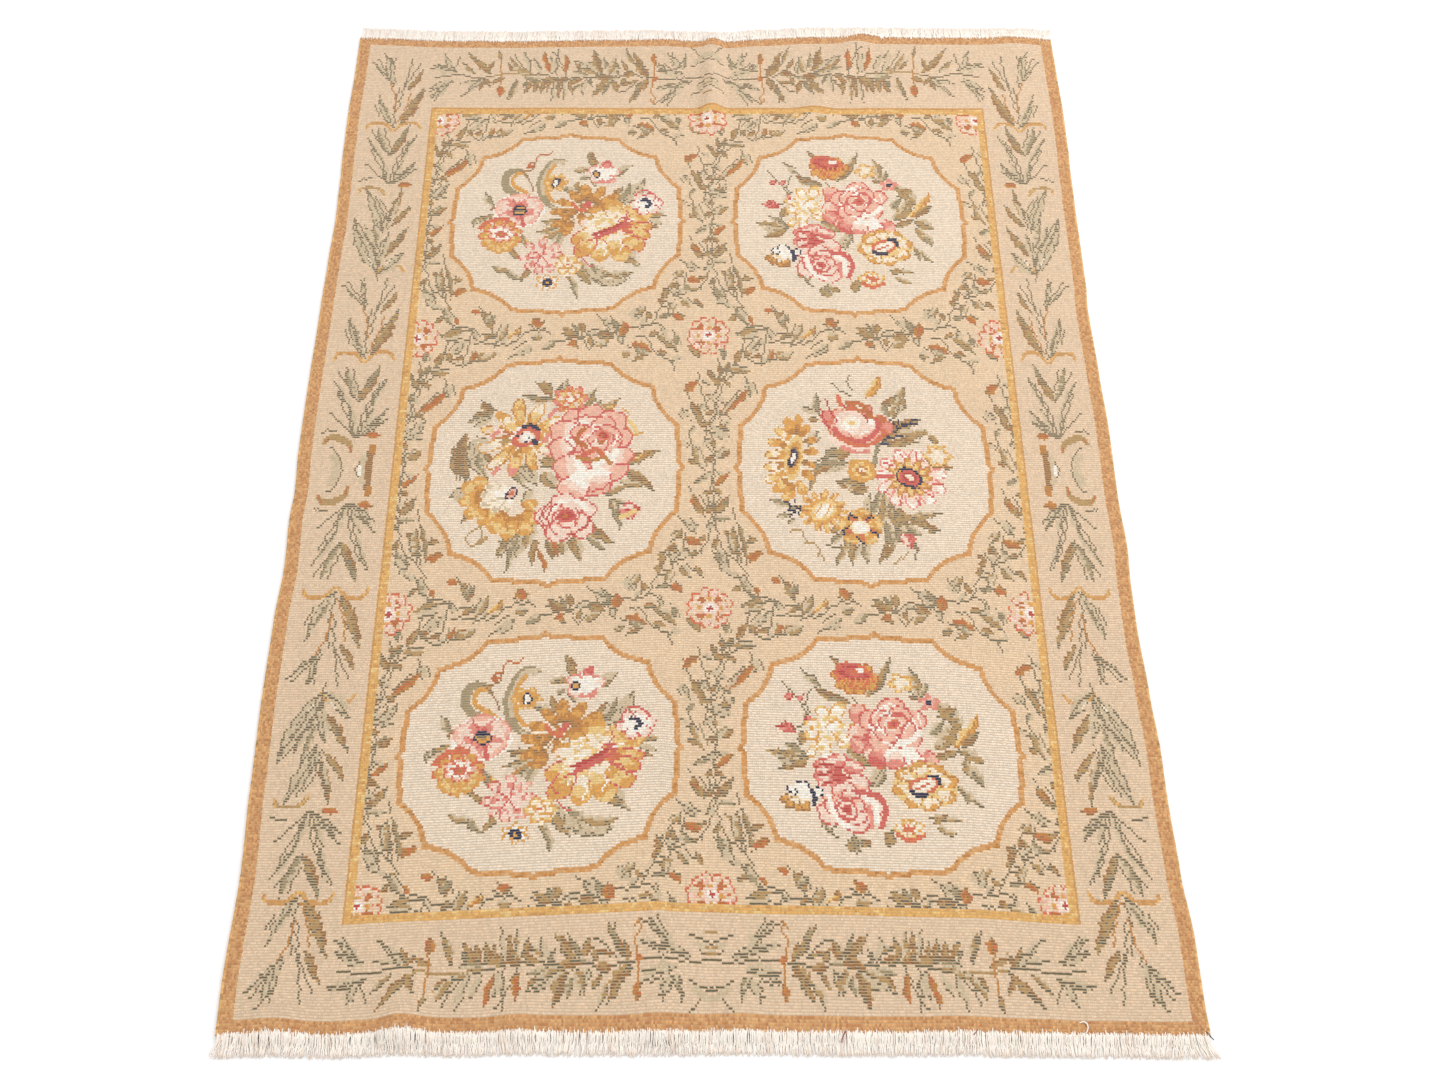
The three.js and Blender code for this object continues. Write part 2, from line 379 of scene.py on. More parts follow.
def rose(spot, x, y, radius, inks, turn=0.0, squash=1.0, heart="crimson rose blush"):
    """A full rose: rings of round petals, smaller and deeper towards the heart."""
    rings = ((0.60, 0.42, 5, 0), (0.36, 0.38, 4, 40), (0.17, 0.29, 3, 15))
    for out, size, count, start in rings:
        for index in range(count):
            angle = turn + start + 360 * index / count
            place = around(x, y, radius * out, radius * out * squash, angle)
            cup(spot, *place, radius * size, angle, inks)
    oval(spot, x, y, radius * 0.15, radius * 0.13, heart)


def eye(spot, x, y, radius_x, radius_y, ring, inside, turn=0.0):
    """A flower's middle with a ring round it, one stitch wide."""
    oval(spot, x, y, radius_x, radius_y, ring, turn, 0)
    oval(spot, x, y, radius_x - 2.9, radius_y - 3.4, inside, turn)


def curl(spot, points, width, ink, tip):
    """A hook that is broad at its bend and thin at its ends, which take the tip's yarn."""
    line(spot, points, ink, width, taper=True)
    line(spot, points[:4], tip)
    line(spot, points[-4:], tip)


# Medallion: its outline in one quarter, out from the middle. Between the corners with a
# sag the edge draws in along an arc.
FRAME_CORNERS = (
    (0, 214, 0), (8, 208, 0), (82, 201, 0), (148, 155, 9), (187, 80, 9), (190, 8, 0), (196, 0, 0),
)


def frame_edge():
    """The medallion's half height at each half width, as two rising and falling lists."""
    places = []
    for (x0, y0, _), (x1, y1, sag) in zip(FRAME_CORNERS, FRAME_CORNERS[1:]):
        length = hypot(x1 - x0, y1 - y0)
        for t in np.linspace(0, 1, 12, endpoint=False):
            drop = sag * 4 * t * (1 - t) / length
            place_x = x0 + (x1 - x0) * t + (y1 - y0) * drop
            places.append((place_x, y0 + (y1 - y0) * t - (x1 - x0) * drop))
    places.append(FRAME_CORNERS[-1][:2])
    return np.array(places).T


def work_medallion(chart, x, y):
    """The ivory panel and its outline, two rows or three stitches broad. Returns its stitches."""
    across, along = chart.grid()
    edge_x, edge_y = frame_edge()
    inside = np.abs(along - y) < np.interp(np.abs(across - x), edge_x, edge_y, right=0)
    inner = inside.copy()
    for step in range(3):
        held = inner.copy()
        inner[:, 1:] &= held[:, :-1]
        inner[:, :-1] &= held[:, 1:]
        if step:
            inner[1:] &= held[:-1]
            inner[:-1] &= held[1:]
    chart.fill(inside, "outline")
    chart.fill(inner, "ivory")
    return inside


# Bouquets, in millimetres from the medallion's middle

PINK_ROSE = "rose blush white pink"
DEEP_ROSE = "rose pale blush rose"
WHITE_ROSE = "rose blush pale white"


def bouquet_with_peony(spot):
    """Pink cosmos on the left and a golden peony on the right."""
    curl(spot, [-5, 143, -24, 145, -38, 122, -46, 92, -42, 60, -28, 36, -8, 24], 12, "sage", "mist")
    line(spot, [-8, 140, -24, 140, -34, 120, -42, 92, -39, 64], "mist", 6)
    line(spot, [-24, 134, -33, 116, -37, 92, -34, 66, -22, 44], "amber", 3)
    curl(spot, [-70, 106, -82, 120, -98, 118, -106, 98, -100, 76, -84, 64, -66, 58], 11, "sage", "moss")
    strokes(spot, [
        ([-74, 112, -86, 112, -94, 98, -88, 82, -72, 70, -62, 58], "amber", 4),
        ([-30, 168, -38, 158, -52, 160, -57, 142, -68, 138, -58, 128], "rust"),
        ([-57, 142, -60, 124, -76, 116, -64, 92, -58, 74], "bark"), ([-60, 132, -70, 128], "rust", 3),
    ])
    leaves(spot, [
        (31, 167, 42, 117, 14, "khaki", 3), (6, 121, 40, 119, 13, "olive", 3),
        (36, 107, 47, 82, 11, "olive"), (18, 98, 34, 106, 9, "sage"), (74, 112, 108, 133, 12, "mist", 3),
        (78, 106, 96, 122, 8), (-10, 78, 20, 66, 17, "sage", 0, 3), (12, 94, 18, 70, 10),
        (84, 38, 127, 103, 24, "mist", -5), (80, 44, 104, 92, 13, "sage", -3), (74, 56, 92, 84, 10),
        (132, 10, 164, 12, 14, "olive", 3), (134, 2, 158, -8, 12, "mist"), (136, -12, 156, -18, 8),
        (-121, 34, -137, 72, 12, "sage", 2), (-126, 26, -112, 44, 8), (-120, 16, -152, 6, 13, "khaki", 3),
        (-148, 10, -154, -14, 8, "sage"), (-122, 8, -150, -4, 9, "mist"),
        (92, -74, 122, -100, 17, "olive", -3), (104, -66, 114, -94, 12, "mist"),
        (110, -98, 124, -106, 7, "sage"), (26, -90, 46, -148, 24, "olive", -4, 3),
        (44, -96, 74, -150, 24, "sage", -4, 4), (60, -118, 112, -118, 20, "olive", -6, 3),
        (50, -138, 106, -130, 16, "mist", -6), (36, -108, 60, -140, 12, "mist"),
        (4, -118, 21, -176, 11, "sage", 5), (2, -112, 12, -140, 7), (-117, -100, -80, -116, 12, "olive", -3),
        (-92, -110, -66, -134, 13, "sage", -3), (-70, -130, -50, -98, 11, "khaki", -3),
        (-92, -60, -64, -90, 11, "khaki", -3), (-74, -28, -46, -68, 14, "sage", -3),
        (-66, -40, -54, -62, 8, "gold"), (-6, -8, -50, -26, 15, "olive", 3),
        (-8, -20, -58, -54, 15, "gold", 5), (-12, -26, -50, -62, 9, "sage", 3),
        (-2, 3, -46, 1, 11, "khaki", 2), (-4, -2, -44, -10, 8, "mist"),
    ])
    line(spot, [-2, -24, -12, -48, -14, -72, -8, -96, 12, -108], "sage", 8)
    line(spot, [0, -26, -9, -50, -11, -72, -4, -94], "mist", 3)
    petals(spot, [
        (16, 26, 196, 34, 19), (12, 14, 222, 38, 20), (18, 34, 160, 38, 18), (22, 42, 122, 36, 17),
        (30, 44, 92, 44, 19), (38, 42, 62, 46, 18), (42, 36, 30, 50, 18), (8, 2, 250, 36, 19),
        (26, 20, 270, 28, 18), (0, 0, 200, 28, 16), (46, 30, 4, 34, 15), (2, 22, 178, 30, 15),
    ], "bark ochre amber ochre amber", "ochre")
    oval(spot, 22, 26, 15, 14, "ochre bark ochre")
    rays(spot, 24, 28, (12, 128, 168, 236, 300), (8, 8), (30, 28), "cream")
    petal(spot, 26, 26, 62, 24, 11, "coral rose", "rose")
    line(spot, [8, 44, 16, 30, 30, 24], "coral", 3)
    oval(spot, 62, -8, 34, 30, "cream straw cream amber")
    petals(spot, [
        (58, 6, 120, 36, 24, "straw cream amber ochre", "ochre"), (74, 8, 84, 44, 26, "cream straw amber"),
        (86, 4, 50, 50, 26, "cream straw amber"), (92, -2, 22, 52, 26, "rose straw amber straw"),
        (92, -10, -6, 50, 24, "rose amber straw amber", "rose"), (46, -8, 168, 26, 22, "cream cream pale"),
        (52, -22, 212, 50, 32, "cream straw amber", "rose"),
        (52, -30, 238, 62, 34, "cream straw amber amber", "rose"),
        (64, -30, 262, 64, 32, "straw cream straw amber"), (76, -28, 286, 66, 36, "cream straw amber straw"),
        (86, -22, 312, 60, 34, "cream amber straw amber", "rose"),
        (92, -16, 336, 50, 26, "coral straw amber", "rose"),
    ])
    line(spot, [44, -30, 60, -24, 78, -14, 92, -2], "crimson", 5, taper=True)
    line(spot, [50, -38, 70, -26, 84, -18, 94, -10], "rose", 4)
    lines(spot, "rose", [
        [84, 2, 98, 14, 96, 30], [34, -46, 52, -40, 46, -66], [28, -84, 34, -96, 46, -102],
        [98, -26, 114, -32, 118, -44], [60, -44, 68, -56], [20, -62, 26, -74],
    ])
    lines(spot, "white", [
        [62, -48, 66, -70, 62, -84], [86, -40, 92, -54, 88, -70], [44, -50, 38, -64], [36, 0, 52, 4, 62, 14],
        [100, 0, 114, 8], [44, -14, 60, -12],
    ])
    oval(spot, -79, 26, 42, 40, "pale white white")
    daisy(spot, -79, 28, 42, 5, "rose pink pale blush", "pink", 96, 0.92, 1.3)
    strokes(spot, [
        ([-82, 34, -92, 58], "rose"), ([-76, 20, -70, -12], "rose", 3), ([-92, 30, -112, 42], "pale", 3),
        ([-66, 32, -48, 42], "pale", 3),
    ])
    eye(spot, -78, 26, 12, 13, "navy", "ochre amber")
    strokes(spot, [([-86, 30, -71, 30], "navy"), ([-84, 26, -73, 26], "moss")])
    daisy(spot, -106, -32, 37, 9, "pale straw amber", "coral", 20, 1, 1.2)
    for turn in (200, 235, 270, 300, 330):
        petal(spot, -106, -40, turn, 32, 18, "straw amber straw amber", "amber")
    daisy(spot, -106, -27, 25, 7, "coral white blush", "coral", 0, 0.85, 1.1)
    oval(spot, -106, -28, 8, 8, "ochre coral rose")
    line(spot, [-141, -16, -130, -2, -112, 6, -94, 4], "coral", 5)
    daisy(spot, 130, 40, 29, 6, "white white pale", "rose", 10, 0.95, 1.1)
    line(spot, [110, 60, 124, 72, 140, 66, 150, 50], "rose")
    line(spot, [122, 50, 132, 48, 136, 38, 128, 34], "navy", 3)
    daisy(spot, 58, 114, 28, 5, "white white pale", "pink", 80, 1, 1.0)
    petal(spot, 58, 120, 72, 26, 15, "white pink rose", "rose")
    line(spot, [52, 96, 62, 92, 72, 100], "pink", 3)
    eye(spot, 46, 112, 7, 8, "navy", "amber amber")
    oval(spot, -36, -80, 30, 42, "pale pale ivory")
    for x, y, turn in (
        (-38, -60, 84), (-26, -66, 40), (-50, -66, 130), (-54, -80, 190), (-48, -92, 215), (-40, -98, 262),
        (-28, -96, 300), (-22, -80, 10), (-34, -74, 60), (-40, -82, 150),
    ):
        petal(spot, x, y, turn, 21, 15, "pink pale blush", "rose" if turn % 4 else "pink")
    rays(spot, -37, -80, (75, 150, 235, 310), (0, 0), (20, 26), "rose")
    oval(spot, 6, -100, 20, 24, "white cream cream")
    daisy(spot, 6, -100, 24, 6, "amber cream straw", "amber", 0, 1, 0.95)
    oval(spot, 5, -98, 6, 6, "coral cream")
    daisy(spot, -27, -138, 21, 6, "ivory white ivory", "amber", 30, 0.9, 0.8)
    eye(spot, -26, -138, 8, 9, "navy", "amber navy")
    daisy(spot, -21, 92, 22, 6, "ochre amber straw", "amber", 0, 1, 0.95)
    eye(spot, -21, 91, 7, 11, "navy", "white white", -10)


def bouquet_with_two_roses(spot):
    """Two big pink roses with a golden flower and a blue bell."""
    leaves(spot, [
        (-18, 92, 21, 168, 17, "olive", -3, 3), (-8, 100, 14, 136, 9), (-52, 142, -66, 172, 8, "khaki", -3),
        (-40, 84, -90, 112, 17, "brown", 3, 2), (-46, 86, -80, 92, 8, "sage"),
        (-76, 108, -106, 146, 8, "sage", 3), (-84, 124, -100, 132, 9, "mist"),
        (58, 88, 43, 156, 13, "olive", -3), (56, 90, 40, 100, 8), (60, 94, 68, 122, 9, "sage"),
        (78, 86, 112, 36, 26, "olive", 4, 3), (74, 4, 104, 56, 27, "olive", -4, 3), (88, 66, 108, 78, 12),
        (100, 8, 136, 72, 18, "amber", -4, 3), (110, 8, 138, 38, 13, "brown", 3),
        (70, 30, 88, 58, 14, "sage"), (72, -12, 108, 6, 14), (106, 2, 138, -18, 22, "olive", 3, 3),
        (108, -18, 134, -60, 17, "sage", 5, 2), (112, -10, 118, -46, 12, "olive"),
        (98, -56, 134, -92, 14, "olive", -2, 3), (110, -70, 112, -90, 9, "sage"),
        (-46, 4, -10, -28, 24, "olive", 2, 2), (-54, -6, -28, -30, 14, "mist"),
        (-15, -62, 6, -24, 19, "mist", 2), (-10, -64, 2, -36, 8, "sage"),
        (-52, -150, -38, -172, 14, "olive"), (-42, -142, -34, -168, 16, "sage"), (-34, -148, -20, -160, 13),
        (2, -160, 10, -128, 15, "khaki", 2), (-74, -112, -86, -130, 12), (-78, -126, -70, -144, 8, "sage"),
        (58, -112, 104, -118, 10, "olive", 3), (68, -124, 96, -140, 11, "olive", -2),
        (62, -122, 84, -104, 9), (-96, -12, -158, 0, 19, "olive", 3, 3),
        (-100, -16, -142, -34, 18, "khaki", 2, 2), (-102, -10, -132, 14, 13, "sage"),
        (-120, -24, -142, -16, 9, "mist"), (-104, 34, -110, 6, 14, "olive"), (-104, 58, -92, 70, 7, "sage"),
        (-112, 14, -98, 20, 8),
    ])
    lines(spot, "moss", [
        [-130, 118, -122, 104, -104, 78, -98, 56, -104, 40], [-92, 106, -98, 84, -100, 64],
        [-126, 32, -110, 40, -102, 50], [40, 108, 52, 96, 60, 86], [-64, -146, -72, -138, -66, -128],
        [-36, 92, -26, 78, -22, 66],
    ])
    daisy(spot, -30, 128, 35, 9, "amber coral amber", "rust", 8, 0.86, 1.3)
    oval(spot, -32, 138, 28, 17, "coral rose crimson coral", -22)
    oval(spot, -22, 142, 10, 6, "white white coral", -22)
    for index in range(8):
        line(spot, [(-56 + 7 * index, 108 + 2 * (index % 3)), (-50 + 7 * index, 126)], "amber")
    lines(spot, "rose", [[-58, 134, -46, 150, -28, 154], [-52, 126, -40, 136]])
    oval(spot, -70, 42, 30, 36, "white cream ivory")
    for x, y, turn, size in (
        (-64, 52, 66, 34), (-72, 50, 108, 30), (-80, 42, 160, 26), (-78, 34, 205, 28), (-70, 26, 248, 34),
        (-60, 32, 300, 34), (-56, 42, 352, 26), (-90, 8, 250, 22), (-82, 8, 296, 28),
    ):
        petal(spot, x, y, turn, size, size * 0.6, "straw cream white straw", "amber")
    lines(spot, "amber", [[-74, 42, -64, 50, -52, 50], [-66, 34, -60, 20, -50, 16], [-84, 30, -88, 14]])
    petal(spot, -22, 34, 100, 50, 28, "rose pink blush", "coral")
    petal(spot, -12, 24, 150, 34, 30, "pink blush pale", "coral")
    petal(spot, -14, 24, 222, 34, 30, "rose pink blush pink", "rose")
    petal(spot, -2, 20, 250, 40, 30, "rose pink pale", "rose")
    rose(spot, 18, 46, 48, PINK_ROSE, 20)
    petals(spot, [
        (8, 8, 242, 40, 34, "blush pink rose", "coral"), (40, 6, 318, 44, 30, "pale pink blush", "rose"),
        (18, 6, 268, 36, 32, "white pale pink", "rose"), (34, 8, 292, 40, 28, "white white pink", "rose"),
    ])
    lines(spot, "white", [[4, 14, 20, 8, 36, 14, 48, 24], [-8, 60, 2, 76, 18, 84], [52, 66, 56, 50]])
    line(spot, [24, 12, 40, 18, 54, 34], "white", 4)
    oval(spot, 18, 47, 13, 12, "crimson rose coral pale")
    line(spot, [28, 40, 40, 52, 34, 64, 20, 68], "rose")
    rose(spot, -46, -88, 48, DEEP_ROSE, 70, 1.1)
    petals(spot, [
        (-50, -50, 172, 44, 28), (-54, -44, 146, 44, 26), (-56, -34, 112, 30, 34), (-44, -40, 70, 26, 30),
    ], "rose pink pale pink", "rose")
    lines(spot, "crimson", [
        [-90, -30, -74, -24, -52, -30], [-86, -42, -66, -38, -44, -48], [-80, -56, -58, -52],
    ])
    oval(spot, -50, -100, 14, 18, "crimson rose pale rose", 30)
    strokes(spot, [
        ([-34, -70, -12, -76, 2, -98, -6, -128], "rose", 4), ([-26, -80, -12, -90, -12, -120], "white", 4),
        ([-20, -94, -18, -126], "pink", 3), ([-74, -78, -64, -116, -44, -130], "white", 3),
    ])
    oval(spot, 56, -58, 44, 38, "cream straw straw")
    daisy(spot, 56, -58, 47, 8, "amber straw cream amber", "ochre", 12, 0.92, 1.15)
    rays(spot, 56, -58, (35, 80, 128, 170, 215, 262, 308, 350), (24, 20), (40, 35), "straw")
    oval(spot, 54, -58, 22, 16, "white pale coral", 28, 0)
    oval(spot, 54, -58, 17, 10, "white white cream", 28, 0)
    line(spot, [42, -62, 52, -60, 64, -52], "coral")
    line(spot, [36, -68, 46, -74, 58, -72], "navy", 3)
    line(spot, [60, -42, 72, -42, 76, -56], "navy", 3)
    for turn in (196, 228, 262, 292):
        petal(spot, -112, -78, turn, 28, 15, "straw cream amber ochre", "bark")
    petal(spot, -100, -76, 158, 32, 16, "white white", "navy")
    petal(spot, -102, -82, 110, 32, 22, "white white", "navy")
    petal(spot, -96, -84, 58, 24, 15, "white white", "navy")
    line(spot, [-96, -66, -92, -82, -94, -92], "navy", 3)
    oval(spot, -108, -76, 9, 7, "white white")
    daisy(spot, 69, 86, 16, 5, "blush pink", "pink", 90, 1, 0.8)
    oval(spot, 69, 86, 5, 5, "navy navy")
    daisy(spot, 32, 120, 19, 5, "cream straw", "amber", 40, 1, 0.9)
    leaves(spot, [
        (-114, 38, -142, 40, 17, "bud"), (-114, 30, -132, 48, 8, "bud"), (-128, 88, -118, 98, 11, "bud"),
        (-112, 86, -102, 98, 9, "bud"), (-100, 62, -96, 50, 8, "bud"),
    ])
    oval(spot, 32, -128, 20, 16, "white cream ivory")
    daisy(spot, 32, -130, 24, 7, "coral cream straw", "amber", 20, 0.7, 1.0)
    line(spot, [14, -138, 30, -148, 50, -140], "coral", 3)


def bouquet_with_white_daisy(spot):
    """A cream daisy over a lily on the left, three roses on the right."""
    leaves(spot, [
        (-5, 128, -55, 139, 15, "sage", 4), (-14, 126, -42, 130, 9), (-8, 136, -36, 165, 15, "khaki", -4),
        (-5, 134, 15, 172, 12, "sage", -4), (-2, 138, 6, 164, 6, "dark"),
        (40, 102, 60, 152, 16, "olive", 2, 2), (46, 96, 95, 131, 22, "olive", -3, 3),
        (62, 98, 92, 120, 10, "gold"), (54, 104, 66, 128, 8, "sage"), (-96, 106, -117, 130, 13, "brown", 2),
        (-94, 102, -138, 84, 15, "sage", -3), (-98, 96, -126, 76, 9, "mist"), (-104, 108, -128, 100, 8),
        (-136, 66, -124, -28, 26, "brown", -10, 4), (-150, 40, -142, -22, 9, "khaki", -4),
        (-122, 56, -97, -22, 24, "mist", -8), (-112, 36, -96, -20, 11, "sage", -5),
        (-96, 40, -120, 62, 12, "mist"), (-106, 30, -92, 8, 10), (-124, -34, -156, -50, 19, "mist", 3),
        (-128, -40, -150, -36, 8, "sage"), (-24, 24, 12, -4, 28, "khaki", 3, 3),
        (-18, -8, 6, -38, 22, "olive"), (-58, 8, -22, -32, 22, "mist", 3),
        (-66, -4, -36, -40, 10, "sage", 2), (-44, 18, -28, -10, 9, "mist"), (-30, -36, -46, -64, 12, "mist"),
        (106, 6, 157, 30, 19, "khaki", 4, 3), (112, 12, 148, 32, 7, "gold"),
        (100, -6, 140, -22, 17, "olive", 2, 2), (108, -12, 150, -46, 19, "khaki", 4, 3),
        (96, -26, 144, -32, 12, "olive", -2), (72, -48, 112, -34, 14, "olive"),
        (84, -54, 100, -116, 11, "dark", 3), (92, -58, 108, -66, 9, "sage"), (82, -74, 96, -64, 8),
        (-28, -84, -62, -192, 15, "sage", -6), (-46, -108, -76, -162, 18, "olive", -4, 4),
        (-40, -132, -50, -162, 10, "mist"), (-28, -92, -38, -146, 20, "olive", 3, 3),
        (-54, -114, -72, -136, 8), (-20, -126, -25, -174, 10, "khaki", -2),
        (-18, -144, -4, -192, 7, "rust", 2), (-8, -130, 6, -164, 13, "brown", 2),
        (2, -128, 12, -162, 9, "rust", 2), (16, -130, 20, -158, 13, "olive"),
        (32, -124, 43, -170, 17, "olive", 3), (28, -130, 30, -152, 8),
        (46, -112, 94, -137, 17, "khaki", 3, 3), (52, -120, 80, -146, 10, "sage", -2),
        (56, -102, 66, -116, 10), (64, -142, 78, -146, 6, "dark"), (-124, -72, -134, -100, 8, "brown", 4),
    ])
    lines(spot, "moss", [
        [-140, 54, -148, 14, -138, -20], [-132, 40, -138, 8, -130, -22], [-124, 20, -128, -8, -122, -24],
        [-96, 112, -84, 98, -80, 84], [-62, 2, -46, -10, -36, -24], [-52, 8, -36, -2, -26, -18],
        [-38, -98, -58, -132, -70, -156],
    ])
    line(spot, [-104, -104, -118, -114, -124, -128, -112, -140, -100, -122, -104, -100], "khaki")
    line(spot, [-104, -134, -92, -124], "khaki", 3)
    line(spot, [100, 110, 110, 100, 103, 84, 110, 70, 120, 60, 132, 66], "amber")
    line(spot, [104, 92, 116, 80, 122, 66], "straw", 3)
    oval(spot, -48, 58, 52, 50, "cream white cream ivory")
    petals(spot, [
        (-44, 76, 62, 50, 19, "amber straw cream"),
        (-54, 78, 96, 54, 21, "amber straw amber straw", "ochre"),
        (-60, 72, 132, 46, 18, "straw cream amber"), (-64, 64, 168, 52, 18, "rust pale straw", "ochre"),
        (-64, 54, 200, 56, 20, "khaki cream ivory"), (-58, 44, 228, 60, 20, "amber straw cream", "ochre"),
        (-50, 40, 254, 56, 19, "ochre straw pink"), (-42, 42, 286, 48, 18, "amber straw amber", "ochre"),
        (-36, 50, 322, 48, 18, "amber cream blush", "ochre"),
        (-32, 60, 352, 46, 16, "amber cream pale", "pink"), (-34, 70, 28, 48, 18, "amber straw cream"),
    ])
    for turn in (56, 80, 108, 150, 184, 214, 240, 268, 306, 340, 14):
        rays(spot, -48, 60, [turn], (24, 20), (46, 44), "amber" if turn % 8 else "ochre")
    for x, y in ((-90, 66), (-86, -2), (-14, 58), (-6, 104)):
        line(spot, [(x - 5, y - 8), (x, y), (x + 5, y + 4)], "pink", 3)
    oval(spot, -44, 58, 23, 17, "white white pale coral rose", 36, 0)
    strokes(spot, [([-50, 78, -36, 80, -26, 72], "navy", 3), ([-34, 52, -28, 46], "navy", 4)])
    for x, y in ((-58, 60), (-50, 66), (-40, 58), (-46, 48)):
        line(spot, [(x, y), (x + 2, y + 1)], "navy")
    for x, y, turn, size in (
        (-98, -44, 118, 34), (-102, -48, 150, 38), (-104, -56, 188, 34), (-100, -62, 222, 36),
        (-94, -68, 258, 34), (-66, -80, 196, 34), (-62, -84, 226, 42), (-56, -86, 256, 42),
        (-48, -84, 288, 40), (-42, -76, 322, 34), (-46, -70, 20, 26),
    ):
        petal(spot, x, y, turn, size, size * 0.66, "ochre amber straw amber", "amber")
    lines(spot, "ochre", [
        [-116, -34, -104, -48, -108, -70], [-92, -50, -96, -84], [-70, -84, -64, -112],
        [-52, -88, -46, -114],
    ])
    for turn, size in ((160, 40), (182, 46), (206, 48), (232, 44), (262, 34), (140, 26)):
        petal(spot, -62, -46, turn, size, 16, "white white cream mist", "cream")
    lines(spot, "mist", [[-68, -50, -90, -60], [-66, -54, -78, -74]])
    eye(spot, -61, -46, 8, 12, "navy", "coral blush", -20)
    oval(spot, 20, 128, 22, 22, "cream pale")
    daisy(spot, 20, 128, 28, 8, "amber straw pink", "coral", 10, 1, 1.1)
    for turn in (30, 100, 170, 240, 310):
        petal(spot, 20, 128, turn, 24, 12, "straw pale coral", "amber")
    eye(spot, 20, 129, 9, 9, "coral", "white cream")
    leaf(spot, 98, -82, 132, -74, 26, "bud")
    strokes(spot, [([100, -90, 114, -84, 124, -78], "straw", 4), ([104, -74, 118, -72], "pale", 3)])
    leaf(spot, 96, -76, 90, -54, 8, "sage")
    for x, y, size, turn in (
        (32, 86, 26, 120), (14, 66, 24, 170), (54, 94, 24, 80), (84, 84, 24, 40), (14, 36, 24, 200),
    ):
        cup(spot, x, y, size, turn, WHITE_ROSE)
    rose(spot, 68, 50, 48, WHITE_ROSE, 10, 0.95, "crimson rust rust")
    rose(spot, 42, -4, 40, WHITE_ROSE, 50, 0.9, "rust coral blush")
    for x, y, size, turn in (
        (22, 2, 24, 190), (84, 2, 28, 330), (62, -26, 26, 280), (30, -36, 24, 240), (100, 22, 18, 350),
    ):
        cup(spot, x, y, size, turn, WHITE_ROSE)
    oval(spot, 72, 60, 12, 11, "rust crimson coral pink")
    line(spot, [44, 74, 34, 62, 34, 48, 48, 40], "rust", 3)
    line(spot, [34, 20, 56, 14, 74, 20, 84, 6], "ochre", 3)
    line(spot, [46, 28, 62, 34, 72, 24], "coral", 4)
    lines(spot, "white", [[40, 54, 54, 66, 56, 80], [88, 42, 92, 62], [30, 6, 44, -8], [70, -14, 84, -8]])
    lines(spot, "rose", [
        [86, 74, 98, 62, 100, 44], [28, 92, 44, 98, 62, 94], [14, 54, 26, 40, 22, 24],
        [58, -44, 74, -38, 84, -26],
    ])
    rose(spot, 22, -90, 47, DEEP_ROSE, 30, 0.95, "rust crimson rose pale")
    oval(spot, 22, -88, 16, 11, "rust crimson rose")
    line(spot, [0, -76, 14, -60, 38, -60, 52, -78], "white", 3)
    line(spot, [2, -104, 16, -116, 38, -108], "pale", 3)
    lines(spot, "crimson", [
        [-10, -112, -16, -84, -2, -60], [-2, -108, -6, -84, 6, -66], [30, -120, 50, -108, 56, -88],
    ])


